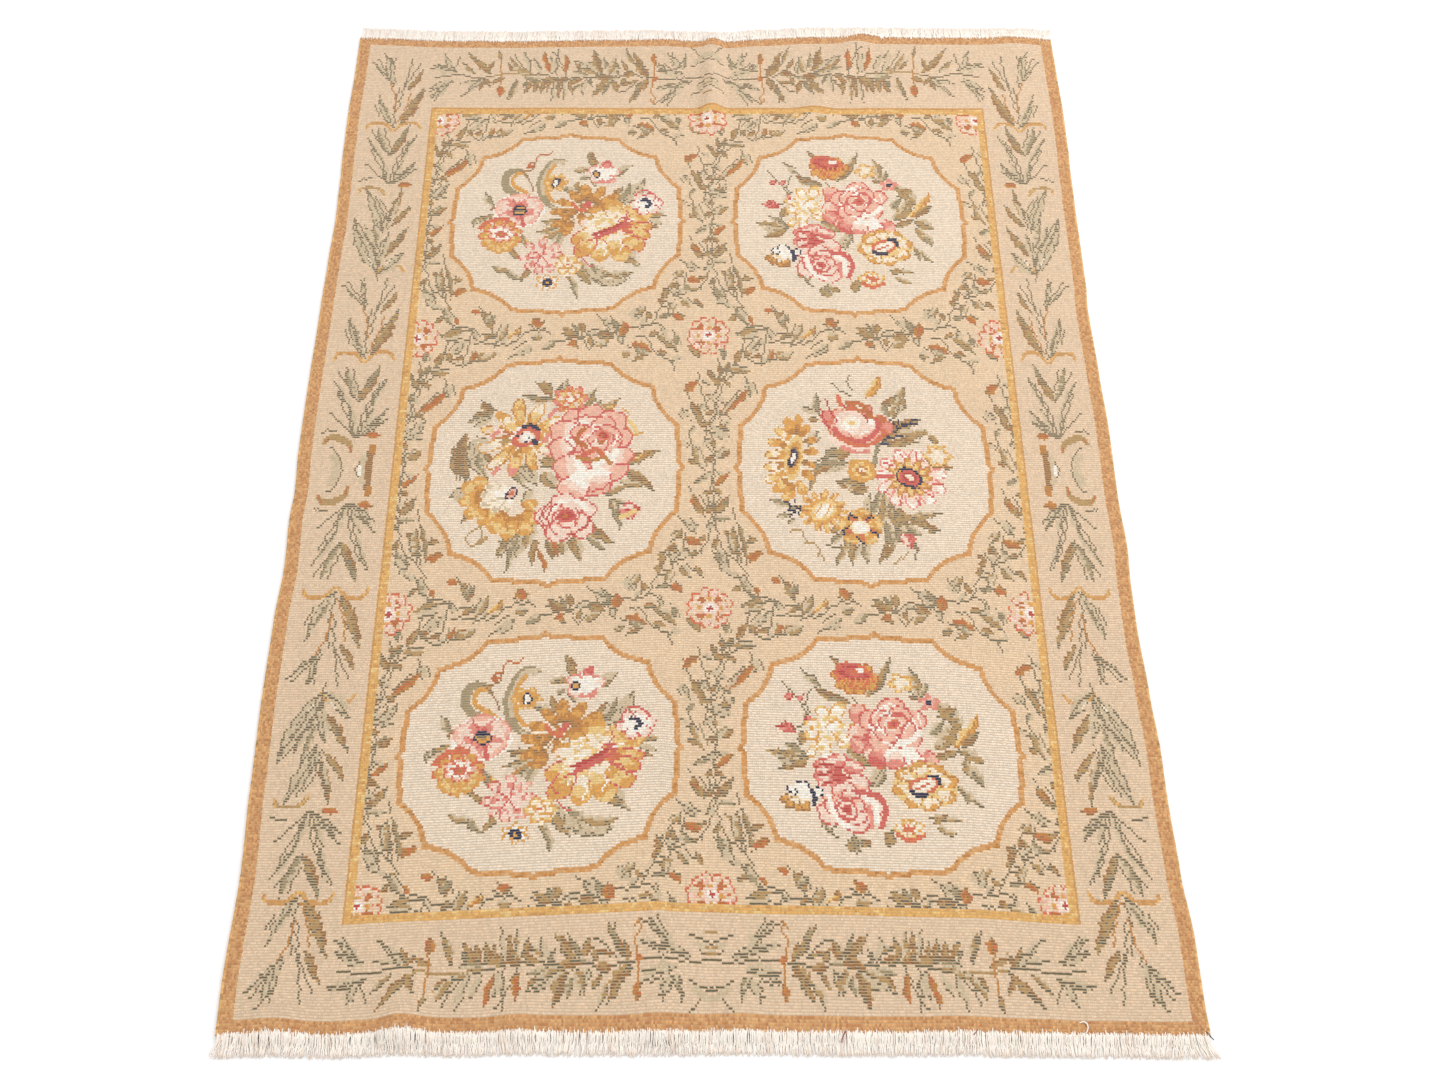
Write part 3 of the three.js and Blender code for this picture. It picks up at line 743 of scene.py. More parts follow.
def bouquet_with_sunflower(spot):
    """A tall golden sunflower, an open red rose and a great pink daisy."""
    leaves(spot, [
        (10, 134, 32, 176, 16, "amber", -3), (44, 96, 68, 158, 21, "olive", -4, 3), (30, 112, 58, 140, 13),
        (40, 96, 34, 124, 12, "sage"), (56, 104, 66, 120, 12, "mist"),
        (-64, 100, -66, 146, 13, "sage", 3, 2), (-68, 104, -92, 112, 12, "mist"), (-66, 94, -84, 88, 10),
        (30, 48, 92, 94, 26, "khaki", 6, 4), (44, 46, 104, 70, 22, "olive", 5, 3),
        (34, 42, 86, 50, 15, "khaki", 2), (98, 62, 112, 40, 9, "brown", 3),
        (-84, 38, -66, 72, 12, "olive", 2), (-80, 50, -62, 56, 9, "sage"),
        (-22, 12, -86, 4, 25, "sage", 5, 4), (-38, 38, -60, 10, 20, "sage", 0, 3),
        (-22, 34, -46, 20, 20, "khaki", 0, 2), (-48, 4, -86, -8, 12), (-70, -2, -84, -40, 8, "brown"),
        (2, -30, -44, -24, 26, "brown", 3, 3), (-4, -44, -34, -18, 17, "olive"), (-20, -46, 6, -34, 13),
        (-6, -88, 6, -46, 14, "mist", -2), (28, -44, 14, -116, 20, "olive", 4, 4),
        (22, -40, 0, -92, 12, "sage", 3), (34, -60, 46, -128, 20, "olive", 4, 4),
        (44, -70, 62, -118, 16, "khaki", 2, 3), (26, -96, 34, -152, 15, "sage", 3),
        (50, -84, 96, -114, 18, "khaki", 3, 3), (60, -92, 110, -82, 17, "olive", 2, 3),
        (78, -96, 108, -116, 13, "khaki", -2, 2), (56, -104, 80, -124, 12, "sage"),
        (-30, -122, -50, -176, 12, "olive", 3, 3), (-24, -120, -26, -176, 10),
        (-24, -112, -56, -140, 13, "sage", -3), (-38, -104, -58, -118, 9),
        (-10, -136, -4, -172, 12, "sage", 2), (-12, -136, -22, -164, 8, "mist"),
        (2, -134, -8, -152, 8, "mist"), (26, -130, 12, -172, 9, "khaki", 3),
        (34, -132, 22, -168, 7, "brown", 2), (56, -118, 70, -152, 11, "dark", 2),
        (-112, -72, -144, -54, 12, "sage"), (-112, -84, -134, -92, 10, "sage"),
        (-106, -92, -118, -104, 8, "olive"), (108, 6, 134, 2, 8, "brown"),
    ])
    line(spot, [26, 66, 20, 34, 14, 6, 10, -20], "sage", 4)
    lines(spot, "moss", [
        [-42, 160, -36, 152, -26, 144, -12, 134], [-14, 174, -18, 160, -10, 146], [28, 66, 22, 34, 16, 4],
        [58, -128, 70, -144, 66, -162], [44, 86, 58, 112, 66, 140], [-60, -138, -44, -144],
        [18, -54, 4, -88], [38, -70, 44, -110], [-82, 10, -56, 18, -34, 26],
    ])
    lines(spot, "khaki", [
        [-114, -116, -96, -112, -92, -132, -76, -138, -72, -156, -66, -166], [92, 68, 106, 58, 110, 36],
        [56, -152, 46, -160, 32, -172],
    ])
    lines(spot, "navy", [
        [28, 46, 40, 60, 48, 82, 42, 92], [44, 66, 64, 80, 84, 92], [40, 56, 62, 62], [54, 74, 56, 92],
        [60, 84, 72, 82, 84, 84], [30, 44, 38, 46],
    ])
    oval(spot, -114, 22, 32, 66, "straw cream cream ivory", -9)
    for x, y, turn, length, width, inks in (
        (-100, 60, 84, 40, 15, "bark ochre amber"), (-104, 62, 108, 34, 15, "ochre amber amber"),
        (-108, 54, 140, 30, 16, "amber cream straw"), (-112, 40, 160, 34, 16, "ochre amber straw"),
        (-114, 24, 176, 34, 17, "amber cream straw"), (-116, 8, 192, 34, 17, "ochre cream straw"),
        (-116, -8, 206, 36, 17, "amber straw cream"), (-114, -20, 228, 34, 17, "ochre straw amber"),
        (-108, -26, 254, 36, 18, "ochre amber straw"), (-98, -20, 284, 32, 16, "amber straw amber"),
        (-94, -4, 318, 24, 14, "ochre amber"), (-92, 12, 340, 22, 13, "bark ochre amber"),
        (-90, 30, 4, 22, 13, "ochre amber"), (-90, 46, 28, 24, 13, "bark amber ochre"),
        (-94, 58, 58, 28, 14, "ochre ochre amber"),
    ):
        petal(spot, x, y, turn, length, width, inks, "amber" if turn % 8 else "ochre")
    oval(spot, -104, 20, 13, 42, "ochre bark amber straw", -8)
    line(spot, [-112, -8, -108, 4, -106, 16], "amber", 4)
    oval(spot, -106, 20, 6, 18, "white navy", -14, 0.4)
    lines(spot, "white", [[-109, 10, -106, 16], [-106, 22, -103, 30]])
    petals(spot, [
        (-12, 66, 118, 54, 24, "pink coral blush", "coral"),
        (-10, 66, 94, 56, 22, "coral rust coral", "rust"), (-6, 66, 70, 56, 24, "coral rust pink", "rust"),
        (2, 62, 46, 48, 26, "blush coral rust", "coral"), (-22, 66, 134, 54, 26, "rose coral pink", "rose"),
        (8, 60, 30, 46, 26, "blush coral pink", "rust"),
    ])
    cup(spot, -18, 74, 32, 250, "coral blush pink pale")
    cup(spot, 4, 70, 26, 290, "coral blush pale white")
    oval(spot, -16, 88, 26, 20, "white cream pale pale")
    oval(spot, -14, 84, 13, 11, "straw cream white")
    lines(spot, "crimson", [
        [-60, 112, -54, 84, -42, 66], [-52, 128, -44, 98, -36, 84], [-30, 130, -26, 110],
        [16, 112, 6, 100, 10, 88],
    ])
    strokes(spot, [
        ([-44, 74, -30, 58, -8, 50, 12, 58, 24, 74, 26, 92], "rose", 5),
        ([-42, 62, -24, 50, -4, 42, 16, 46, 28, 60], "coral", 4),
        ([-50, 60, -30, 44, -6, 34, 14, 38], "pale", 4), ([-32, 40, -10, 30, 10, 32], "pink", 3),
        ([-22, 122, -6, 124, 8, 112, 12, 96], "rust", 4), ([-34, 138, -30, 118], "coral", 4),
    ])
    lines(spot, "white", [[-36, 96, -28, 78, -14, 68], [-4, 62, 8, 70]])
    oval(spot, 68, -18, 48, 52, "white white white pale", 0)
    daisy(spot, 68, -18, 54, 11, "pink blush pale white", "pink", 10, 1.05, 1.2)
    rays(spot, 68, -18, (36, 72, 104, 140, 205, 244, 280, 312, 345), (34, 36), (48, 51), "rose", 5)
    daisy(spot, 66, -17, 36, 12, "ochre amber straw amber", "ochre", 0, 1.05, 1.05)
    oval(spot, 66, -17, 22, 17, "coral crimson rose navy", -40, 0.3)
    lines(spot, "amber", [[52, -4, 50, -18], [76, -36, 86, -28]])
    oval(spot, 66, -16, 12, 6, "cream cream crimson", -38)
    line(spot, [14, -14, 30, -14, 44, -14], "rose", 4)
    oval(spot, -4, -4, 21, 22, "straw straw amber")
    daisy(spot, -4, -4, 23, 7, "ochre straw amber", "amber", 30, 1, 1.1)
    oval(spot, -4, -4, 5, 4, "coral cream")
    daisy(spot, -64, -78, 39, 13, "straw amber straw", "amber", 0, 1, 0.82)
    rays(spot, -64, -78, (18, 60, 96, 140, 178, 220, 262, 300, 340), (22, 22), (34, 34), "ochre")
    oval(spot, -63, -76, 21, 16, "white white cream straw", 42, 0.2)
    for x in (-74, -60):
        line(spot, [(x - 2, -86), (x + 8, -66)], "amber")
    daisy(spot, -10, -106, 33, 5, "cream straw amber straw", "amber", 90, 1, 1.2)
    for turn in (58, 126, 204, 272, 340):
        petal(spot, -10, -106, turn, 30, 11, "cream coral ochre", "ochre")
    oval(spot, -11, -106, 14, 12, "white white cream")
    lines(spot, "navy", [
        [-14, -90, -24, -84, -28, -92], [-2, -92, 6, -86, 12, -94], [4, -112, 14, -116, 14, -124],
        [-16, -122, -12, -132, -6, -136], [-28, -106, -36, -112, -34, -120],
    ])
    lines(spot, "navy", [
        [-120, -62, -108, -68, -112, -76], [-116, -78, -104, -72, -98, -78], [-112, -88, -104, -80],
        [-106, -64, -104, -58], [-100, -86, -98, -68],
    ])
    oval(spot, -108, -72, 7, 6, "sage navy")
    oval(spot, 110, 24, 19, 20, "cream ivory straw")
    daisy(spot, 110, 24, 23, 6, "cream ivory straw", "amber", 60, 1, 0.9)
    line(spot, [92, 20, 100, 6, 112, 2, 124, 10], "bark")
    leaf(spot, 50, -116, 62, -146, 20, "bud", 2)
    line(spot, [50, -122, 56, -134], "pale", 3)
    leaves(spot, [(44, -112, 44, -134, 8, "dark"), (48, -110, 60, -116, 7, "sage")])


# Vines of the field, in millimetres from the middle of a medallion's cell
VINE_STEMS = (
    (
        -192, 181, -205, 161, -219, 124, -222, 94, -229, 71, -223, 21, -226, -52, -222, -106, -215, -136,
        -205, -172,
    ),
    (
        249, 181, 249, 161, 239, 134, 243, 104, 231, 84, 226, 48, 236, 24, 238, -6, 233, -36, 228, -52, 233,
        -79,
    ),
    (233, -79, 236, -106, 218, -152, 199, -159, 176, -172), (213, 181, 219, 148, 233, 98),
    (-175, -193, -185, -205, -169, -225, -139, -232, -125, -243, -105, -240, -99, -256),
    (-135, -257, -122, -256, -95, -261, -75, -257, -49, -238, -22, -237, -15, -245),
    (-5, -254, 28, -253, 41, -242, 48, -237, 71, -237, 84, -244, 99, -250),
    (108, -232, 124, -234, 144, -225, 148, -208, 158, -193, 174, -191), (144, -225, 158, -229, 165, -240),
    (118, -248, 134, -250, 141, -263, 148, -277, 158, -283, 174, -295, 178, -312), (-206, 163, -216, 205),
    (-206, 163, -202, 198), (-214, 178, -196, 190), (-185, -170, -196, -108), (-188, -150, -172, -122),
    (-215, -142, -188, -172), (-188, -172, -175, -193), (-169, -225, -176, -262, -186, -290),
    (-139, -232, -142, -262, -150, -290), (176, -172, 190, -150, 196, -120), (176, -172, 168, -150),
    (38, -260, 44, -269, 58, -257), (213, 34, 204, 44, 196, 34),
    (-168, 206, -150, 196, -136, 206, -122, 204), (174, -191, 160, -178),
)
VINE_LEAVES = (
    (-200, 185, -166, 180, 14, "olive", 2), (-222, 168, -232, 188, 9), (-205, 104, -166, 152, 12),
    (-210, 98, -186, 142, 9, "mist", -2), (-229, 66, -200, 55, 17, "mist", 2), (-216, 80, -204, 66, 9),
    (-222, 16, -200, 36, 10, "mist"), (-222, -32, -201, -8, 11, "rust"),
    (-224, -84, -200, -48, 13, "khaki", -2), (-224, -90, -196, -94, 10, "sage"),
    (-192, -152, -197, -104, 12, "olive", 2), (-178, -162, -152, -152, 11, "rust"),
    (-221, -148, -210, -182, 14, "sage", 2), (-206, -186, -186, -198, 10, "mist"),
    (-172, 161, -165, 131, 13, "mist"), (-169, 148, -205, 101, 9, "rust"), (-225, 172, -214, 152, 11),
    (-202, 31, -214, 16, 9), (-192, -98, -178, -176, 7, "brown", 4), (-156, -150, -174, -170, 11, "rust"),
    (-216, -172, -205, -190, 11, "mist"), (-186, -192, -169, -230, 10, "mist"),
    (-187, -200, -171, -224, 12, "sage"), (-167, -212, -161, -227, 7, "rust"),
    (-152, -236, -190, -243, 17, "olive", 2), (-144, -198, -128, -203, 10, "rust"),
    (-125, -202, -108, -237, 13, "khaki", 2), (-119, -222, -103, -206, 11, "sage"),
    (-99, -256, -83, -224, 12, "olive"), (-85, -252, -61, -231, 6, "amber"),
    (-30, -229, -47, -214, 15, "rust", 0, 2), (-46, -250, -25, -246, 14, "olive"),
    (-70, -279, -42, -260, 14, "mist", -2), (-29, -269, -4, -254, 12, "sage"),
    (28, -248, 0, -228, 14, "khaki", 2), (28, -243, 16, -223, 6, "dark"), (33, -243, 34, -222, 10),
    (19, -254, 19, -266, 12, "rust"), (58, -246, 85, -252, 13), (54, -267, 79, -254, 12, "olive"),
    (64, -218, 94, -243, 16, "mist", 2), (80, -216, 98, -246, 11, "sage"), (98, -249, 99, -221, 14, "rust"),
    (124, -218, 111, -194, 18, "mist", 3), (120, -208, 134, -190, 9, "olive"),
    (154, -213, 175, -210, 10, "dark"), (174, -210, 192, -223, 12, "rust", 2),
    (111, -262, 142, -277, 17, "rust", 2, 3), (114, -270, 140, -284, 8, "sage"),
    (96, -279, 112, -281, 14, "olive"), (118, -290, 134, -280, 8), (151, -247, 184, -278, 15, "olive", 3),
    (178, -246, 184, -266, 7, "dark"), (198, -264, 219, -288, 12, "khaki", 2),
    (-169, -278, -148, -253, 14, "mist"), (-192, -298, -178, -267, 11), (-134, -288, -130, -270, 8, "rust"),
    (-126, -287, -98, -273, 12, "olive", -2), (-214, -262, -206, -292, 8, "dark"),
    (283, 138, 249, 106, 12, "rust", 3), (249, 64, 263, 92, 13, "mist"), (263, 34, 243, 18, 10),
    (203, 124, 220, 71, 11, "khaki", 3), (213, 162, 192, 140, 16, "rust", -2, 2),
    (206, 44, 224, -8, 10, "olive", -3), (229, -18, 209, -28, 13, "sage"),
    (206, -48, 226, -90, 12, "khaki", -3), (204, -56, 216, -76, 7, "rust"),
    (193, -96, 214, -120, 14, "mist", 2), (196, -128, 220, -140, 14, "rust"),
    (239, -158, 257, -180, 11, "mist"), (204, -160, 190, -140, 12, "sage", 2),
    (188, -176, 204, -196, 13, "olive"), (168, -168, 158, -148, 9), (176, -184, 166, -206, 10, "olive"),
    (209, -176, 224, -198, 8), (200, 92, 190, 112, 13, "mist"), (210, 78, 200, 60, 9, "sage"),
    (180, -130, 192, -110, 9, "olive"), (212, 6, 200, 18, 9), (226, 120, 214, 104, 8, "sage"),
)


def stalks(spot, rows):
    """A short stalk at the foot of each leaf, and a fine line that runs beside it."""
    for x0, y0, x1, y1, width, *_ in rows:
        ahead_x, ahead_y = x1 - x0, y1 - y0
        line(spot, [(x0 - 0.3 * ahead_x, y0 - 0.3 * ahead_y), (x0, y0)], "moss")
        aside = 0.72 * width / hypot(ahead_x, ahead_y)
        beside_x, beside_y = x0 - aside * ahead_y, y0 + aside * ahead_x
        start = (beside_x + 0.15 * ahead_x, beside_y + 0.15 * ahead_y)
        end = (beside_x + 0.8 * ahead_x, beside_y + 0.8 * ahead_y)
        line(spot, [start, end], "sage" if width < 11 else "moss")


# Small leaves of the vine: the steps of a stem from one to the next, how far they reach and
# how wide they are
SPRIG_EVERY = 34
SPRIG_LENGTH = 23
SPRIG_WIDTH = 9


def sprigs(spot):
    """Small leaves to either side in turn along each stem of the vine."""
    tones = ("khaki", "mist", "brown", "mist", "khaki")
    for number, stem in enumerate(VINE_STEMS):
        path = smooth_path(stem)
        for index in range(SPRIG_EVERY // 2, len(path) - 2, SPRIG_EVERY):
            ahead = path[index + 2] - path[index]
            beside = np.array([-ahead[1], ahead[0]]) * (-1) ** (index + number)
            away = (ahead + beside) / hypot(*(ahead + beside))
            start = path[index] + 4 * away
            tip = path[index] + SPRIG_LENGTH * away
            tone = tones[(index + 2 * number) % len(tones)]
            leaf(spot, *start, *tip, SPRIG_WIDTH, tone, 2)


def work_vines(chart):
    """The same run of vine in each medallion's cell, and in the gap beyond the last row."""
    for row in (-1, 0, 1, 2):
        for side in (-1, 1, 3, -3):
            spot = Spot(chart, side * CELL_X, row * CELL_Y)
            sprigs(spot)
            lines(spot, "moss", VINE_STEMS)
            leaves(spot, VINE_LEAVES)
            stalks(spot, VINE_LEAVES[::2])


def rosette(spot):
    """A coral rosette: twelve outlined petals in pairs beside the axes, and four brown knots."""

    def rule(dx, dy, chance):
        out = np.hypot(dx, dy)
        turn = np.arctan2(dy, dx)
        lobe = np.abs(np.sin(6 * turn))
        edge = 34 * (0.74 + 0.26 * np.sqrt(lobe))
        knot = (np.abs(np.sin(2 * turn)) > 0.86) & (out > 13) & (out < 23)
        axis = np.abs(np.sin(2 * turn)) < 0.5
        found = np.where(chance > 0.8, INK["blush"], np.where(chance > 0.5, INK["pale"], INK["field"]))
        found = np.where((edge - out < 3) | (lobe < 0.26), INK["coral"], found)
        found = np.where((lobe < 0.26) & (chance > 0.6), INK["field"], found)
        found = np.where(knot & (chance < 0.75), INK["rust"], found)
        found = np.where((out < 17) & (out > 11) & axis, INK["amber"], found)
        found = np.where(out < 11, np.where(out < 7.5, INK["white"], INK["pale"]), found)
        cross = (np.abs(dx) < 1.6) | (np.abs(dy) < 2)
        found = np.where((out < 4.8) & cross, INK["crimson"], found)
        return np.where(out < edge, found, KEEP)

    spot.work(0, 0, 38, rule)


# Long border: one half of its garland, drawn with x along it from the rug's mid-length and
# y across it from the rug's edge

def fern(spot):
    """Fine dotted fronds from one root, with a bushy one and a two-toned leaf."""
    leaves(spot, [
        (3, 6, 52, 40, 15, "mist", 3, 3), (6, 4, 62, 22, 9, "mist", 2), (60, 18, 120, 36, 8, "mist"),
        (4, -2, 62, -14, 10, "mist"), (50, -10, 112, -44, 9, "mist", 2), (70, -4, 142, -28, 12, "sage", -2),
        (68, -4, 142, 24, 13, "khaki", 2), (96, 8, 146, 26, 7, "dark"),
    ])
    lines(spot, "moss", [
        [3, 4, 16, 26, 36, 42], [3, 4, 26, 22, 54, 42], [22, 12, 30, 38], [3, 2, 62, 16, 118, 38],
        [3, 0, 54, 8, 104, 26], [3, -2, 60, -16, 114, -44], [3, -3, 26, -22, 48, -42],
        [3, -2, 40, -16, 84, -34], [14, -30, 14, -42, 8, -50], [80, -10, 128, -38], [90, -4, 136, -18],
    ])


def spear(spot):
    """A broad serrated leaf with fine sprays beyond it."""
    leaves(spot, [
        (8, 6, 96, 43, 17, "khaki", 3, 7), (82, 13, 134, 38, 11, "khaki", 2, 4),
        (4, -3, 78, -35, 13, "mist", -2), (20, -8, 62, -26, 7, "sage"), (98, -12, 158, -24, 8, "mist"),
        (104, -20, 146, -50, 7, "mist"),
    ])
    lines(spot, "moss", [
        [46, 3, 92, 8, 148, 32], [92, 8, 158, 17], [4, -1, 44, -4, 90, -2], [98, -10, 158, -20],
        [92, -12, 130, -16, 152, -14], [100, -14, 144, -52], [108, -16, 150, -44], [30, -30, 54, -37],
    ])
    lines(spot, "ochre", [[14, 3, 44, 14, 76, 20], [40, 0, 70, -6, 100, -16]])


def plume(spot):
    """The big pale leaves of the third and richest spray."""
    leaves(spot, [
        (2, 4, 52, 36, 22, "mist", 4, 4), (34, 2, 112, 42, 14, "khaki", 3, 5),
        (106, 10, 162, 42, 12, "khaki", 2, 4), (20, -2, 96, 10, 14, "mist"),
        (120, 4, 200, 24, 12, "brown", 3, 4), (122, 8, 176, 22, 7, "mist"),
        (8, -4, 132, -52, 20, "mist", -4), (40, -6, 112, -34, 12, "mist", 3),
        (96, 0, 198, -38, 21, "mist", 4), (60, -4, 130, -20, 9, "sage"),
    ])
    lines(spot, "moss", [
        [-14, 2, 4, 0, 30, 2], [2, -2, 60, -24, 118, -50], [2, 0, 54, -10, 120, -44],
        [96, -2, 150, -14, 198, -38], [96, 0, 140, -4, 180, -20], [2, 4, 26, 26, 50, 40],
        [104, 6, 150, 0, 176, -14], [60, -8, 84, -30, 100, -46],
    ])
    lines(spot, "cream", [[24, -10, 40, -20], [22, 12, 34, 20]])


def hooks(spot, upper=True, lower=True, ink="guard_line"):
    if upper:
        curl(spot, [-3, 0, 11, 12, 15, 28, 10, 38, 0, 44], 2.6, ink, "guard")
    if lower:
        curl(spot, [-3, -4, 10, -14, 13, -30, 11, -44, 1, -47], 2.6, ink, "guard")


def long_garland(spot):
    middle = 80
    strokes(spot, [
        ([0, 104, 30, 105, 44, 107], "bark", 8), ([32, 105, 45, 107], "ochre", 8),
        ([0, 98, 20, 97, 35, 101], "moss"), ([0, 93, 12, 94, 24, 97], "mist", 6),
        ([0, 84, 8, 87, 18, 92], "moss"), ([0, 90, 8, 91], "white", 3),
        ([0, 56, 15, 55, 28, 50], "mist", 12), ([0, 65, 15, 63, 30, 57, 41, 46], "moss"),
    ])
    leaf(spot, 63, 93, 66, 118, 12, "rust")
    curl(spot, [33, 76, 47, 72, 56, 60, 60, 48, 57, 40, 48, 34], 8, "khaki", "rust")
    fern(spot.moved(59, middle))
    hooks(spot.moved(209, middle))
    spear(spot.moved(209, middle))
    hooks(spot.moved(383, middle - 2), lower=False)
    plume(spot.moved(376, middle))
    hooks(spot.moved(562, middle), upper=False, ink="khaki")
    leaf(spot, 580, 95, 584, 119, 12, "rust")
    fern(spot.moved(582, middle))
    hooks(spot.moved(714, middle))
    spear(spot.moved(714, middle))
    leaf(spot, 812, 66, 878, 48, 12, "mist")
    line(spot, [820, 60, 860, 58, 880, 44], "moss")


# Short border: one half of its garland, with x out from the rug's middle and y from the
# stem towards the field

def short_garland(spot):
    line(spot, [470, 2, 430, -4, 400, 2, 370, -2], "moss")
    line(spot, [372, -2, 345, -9, 318, -6, 290, -4], "khaki")
    lines(spot, "moss", [
        [318, -8, 290, -5, 262, 2, 243, 4, 200, 2, 165, 2, 130, -3, 92, 4], [92, 5, 60, 6, 40, 2, 0, 3],
        [40, 20, 64, 34, 92, 60], [30, 13, 60, 20, 88, 25], [44, -20, 56, -36, 70, -50],
        [60, -14, 74, -26, 86, -22], [120, 8, 138, 26, 148, 32], [204, 6, 220, 20, 232, 24],
        [330, 4, 338, 28, 344, 48], [392, 6, 408, 12, 426, 14], [246, -8, 256, -34, 270, -56],
        [312, -14, 330, -34, 336, -52], [208, -12, 220, -30, 232, -34], [404, -8, 420, -24, 430, -34],
    ])
    leaves(spot, [
        (158, 7, 198, -5, 16, "brown", 2), (154, -4, 165, -42, 14, "mist", 2),
        (127, -8, 150, -1, 12, "brown"), (240, 5, 272, 12, 17, "brown", 2),
        (262, 5, 292, 11, 15, "khaki", 2), (288, 5, 312, 13, 12), (206, -3, 236, -14, 11, "sage"),
        (302, -8, 336, -16, 10, "olive"), (64, -4, 88, -30, 13, "mist", 2), (352, 2, 378, 14, 10),
        (142, 2, 152, 24, 9), (218, 4, 240, 16, 10), (52, 14, 92, 30, 10, "mist"),
        (44, -20, 66, -34, 12, "mist"), (122, 10, 152, 18, 7), (204, 8, 232, 30, 9, "olive"),
        (238, 8, 232, 42, 8), (274, 8, 276, 34, 7), (328, 4, 342, 50, 8), (312, 8, 318, 26, 6, "dark"),
        (216, -12, 232, -34, 9), (262, -12, 274, -46, 8, "sage"), (334, -12, 350, -34, 7),
        (138, -12, 150, -36, 8), (404, -6, 428, -34, 9, "olive"), (398, 8, 424, 16, 9, "mist"),
        (150, 2, 176, 8, 8, "sage"),
        (446, 8, 476, 50, 14, "mist", 3, 3), (440, 6, 480, 28, 11, "mist"),
        (436, -14, 480, -26, 20, "mist", 3, 3), (446, -20, 458, -50, 11, "mist"),
        (388, 4, 424, 42, 11, "mist", 2), (386, 6, 394, 32, 8), (388, 2, 374, 22, 8),
        (372, -6, 420, -60, 13, "khaki", 3, 3), (384, -12, 372, -38, 9, "brown"),
        (357, 20, 357, 44, 13, "rust"), (360, -38, 365, -62, 7), (330, 14, 338, 44, 9, "olive", 2),
        (318, 0, 304, 6, 9, "sage"), (303, 4, 318, 38, 10, "khaki", 2, 3),
        (292, 6, 300, 36, 10, "khaki", 0, 3), (282, 8, 288, 40, 9), (314, 4, 282, 4, 11, "sage"),
        (326, -10, 346, -46, 10, "olive"), (306, -10, 322, -60, 10, "mist"), (288, -8, 305, -44, 9, "mist"),
        (274, -10, 286, -60, 9, "rust", 1), (270, -6, 262, -44, 12, "mist"), (262, 4, 269, 58, 7, "mist"),
        (256, 6, 257, 52, 8, "khaki", 0, 3), (249, 4, 246, 56, 7, "olive"), (245, -6, 246, -54, 9, "rust"),
        (210, 2, 216, 42, 10, "mist"), (206, 4, 198, 24, 7, "dark"), (176, 8, 201, 44, 14, "khaki", 2, 3),
        (166, 8, 183, 44, 8, "dark"), (164, 8, 152, 38, 10), (186, -6, 224, -38, 22, "mist", 3),
        (190, -4, 226, -20, 10, "olive"), (182, -8, 198, -62, 15, "brown", 3, 3),
        (172, -4, 158, -42, 12, "olive"), (176, -14, 182, -46, 9, "sage"), (110, 6, 137, 60, 9, "khaki", 2),
        (120, 14, 124, 58, 6, "dark"), (104, 2, 112, 32, 9), (100, 0, 127, -34, 18, "brown", 2, 4),
        (128, -24, 143, -64, 9, "olive", 2), (112, -18, 131, -54, 9), (92, -22, 94, -54, 8, "rust"),
        (46, 14, 80, 58, 16, "mist", 3, 3), (26, 8, 80, 24, 11, "mist", 2),
        (40, -6, 86, -16, 18, "mist", 3, 3), (50, -18, 62, -50, 12, "mist"), (44, -16, 36, -50, 8, "sage"),
    ])
    lines(spot, "moss", [
        [448, 18, 472, 56], [456, 16, 478, 46], [441, 12, 478, 32], [436, -12, 462, -22, 482, -18],
        [452, -24, 458, -50], [440, -22, 432, -44], [386, 8, 424, 42], [262, -4, 262, -60],
        [243, 4, 246, -12], [48, 16, 80, 60], [56, 38, 70, 62], [26, 8, 80, 28], [62, -14, 86, -10],
        [60, -24, 62, -52], [50, -20, 37, -52], [26, 38, 12, 34, 0, 27], [26, -24, 14, -32, 0, -36],
        [30, -70, 14, -48, 0, -33], [18, 20, 8, 14, 0, 12],
    ])
    strokes(spot, [([22, -34, 8, -44, 0, -46], "mist", 6), ([18, 26, 8, 22, 0, 20], "mist", 4)])
    lines(spot, "khaki", [[0, 43, 7, 43], [0, 23, 7, 23], [0, 12, 6, 12]])
    line(spot, [94, 56, 89, 48, 93, 40, 97, 32, 94, 8, 91, -8, 94, -48], "ochre")
    line(spot, [98, 48, 96, 56, 91, 56], "ochre")
    oval(spot, 91, 5, 5, 5, "ochre rust")
    line(spot, [359, 20, 357, 2, 361, -42], "ochre")


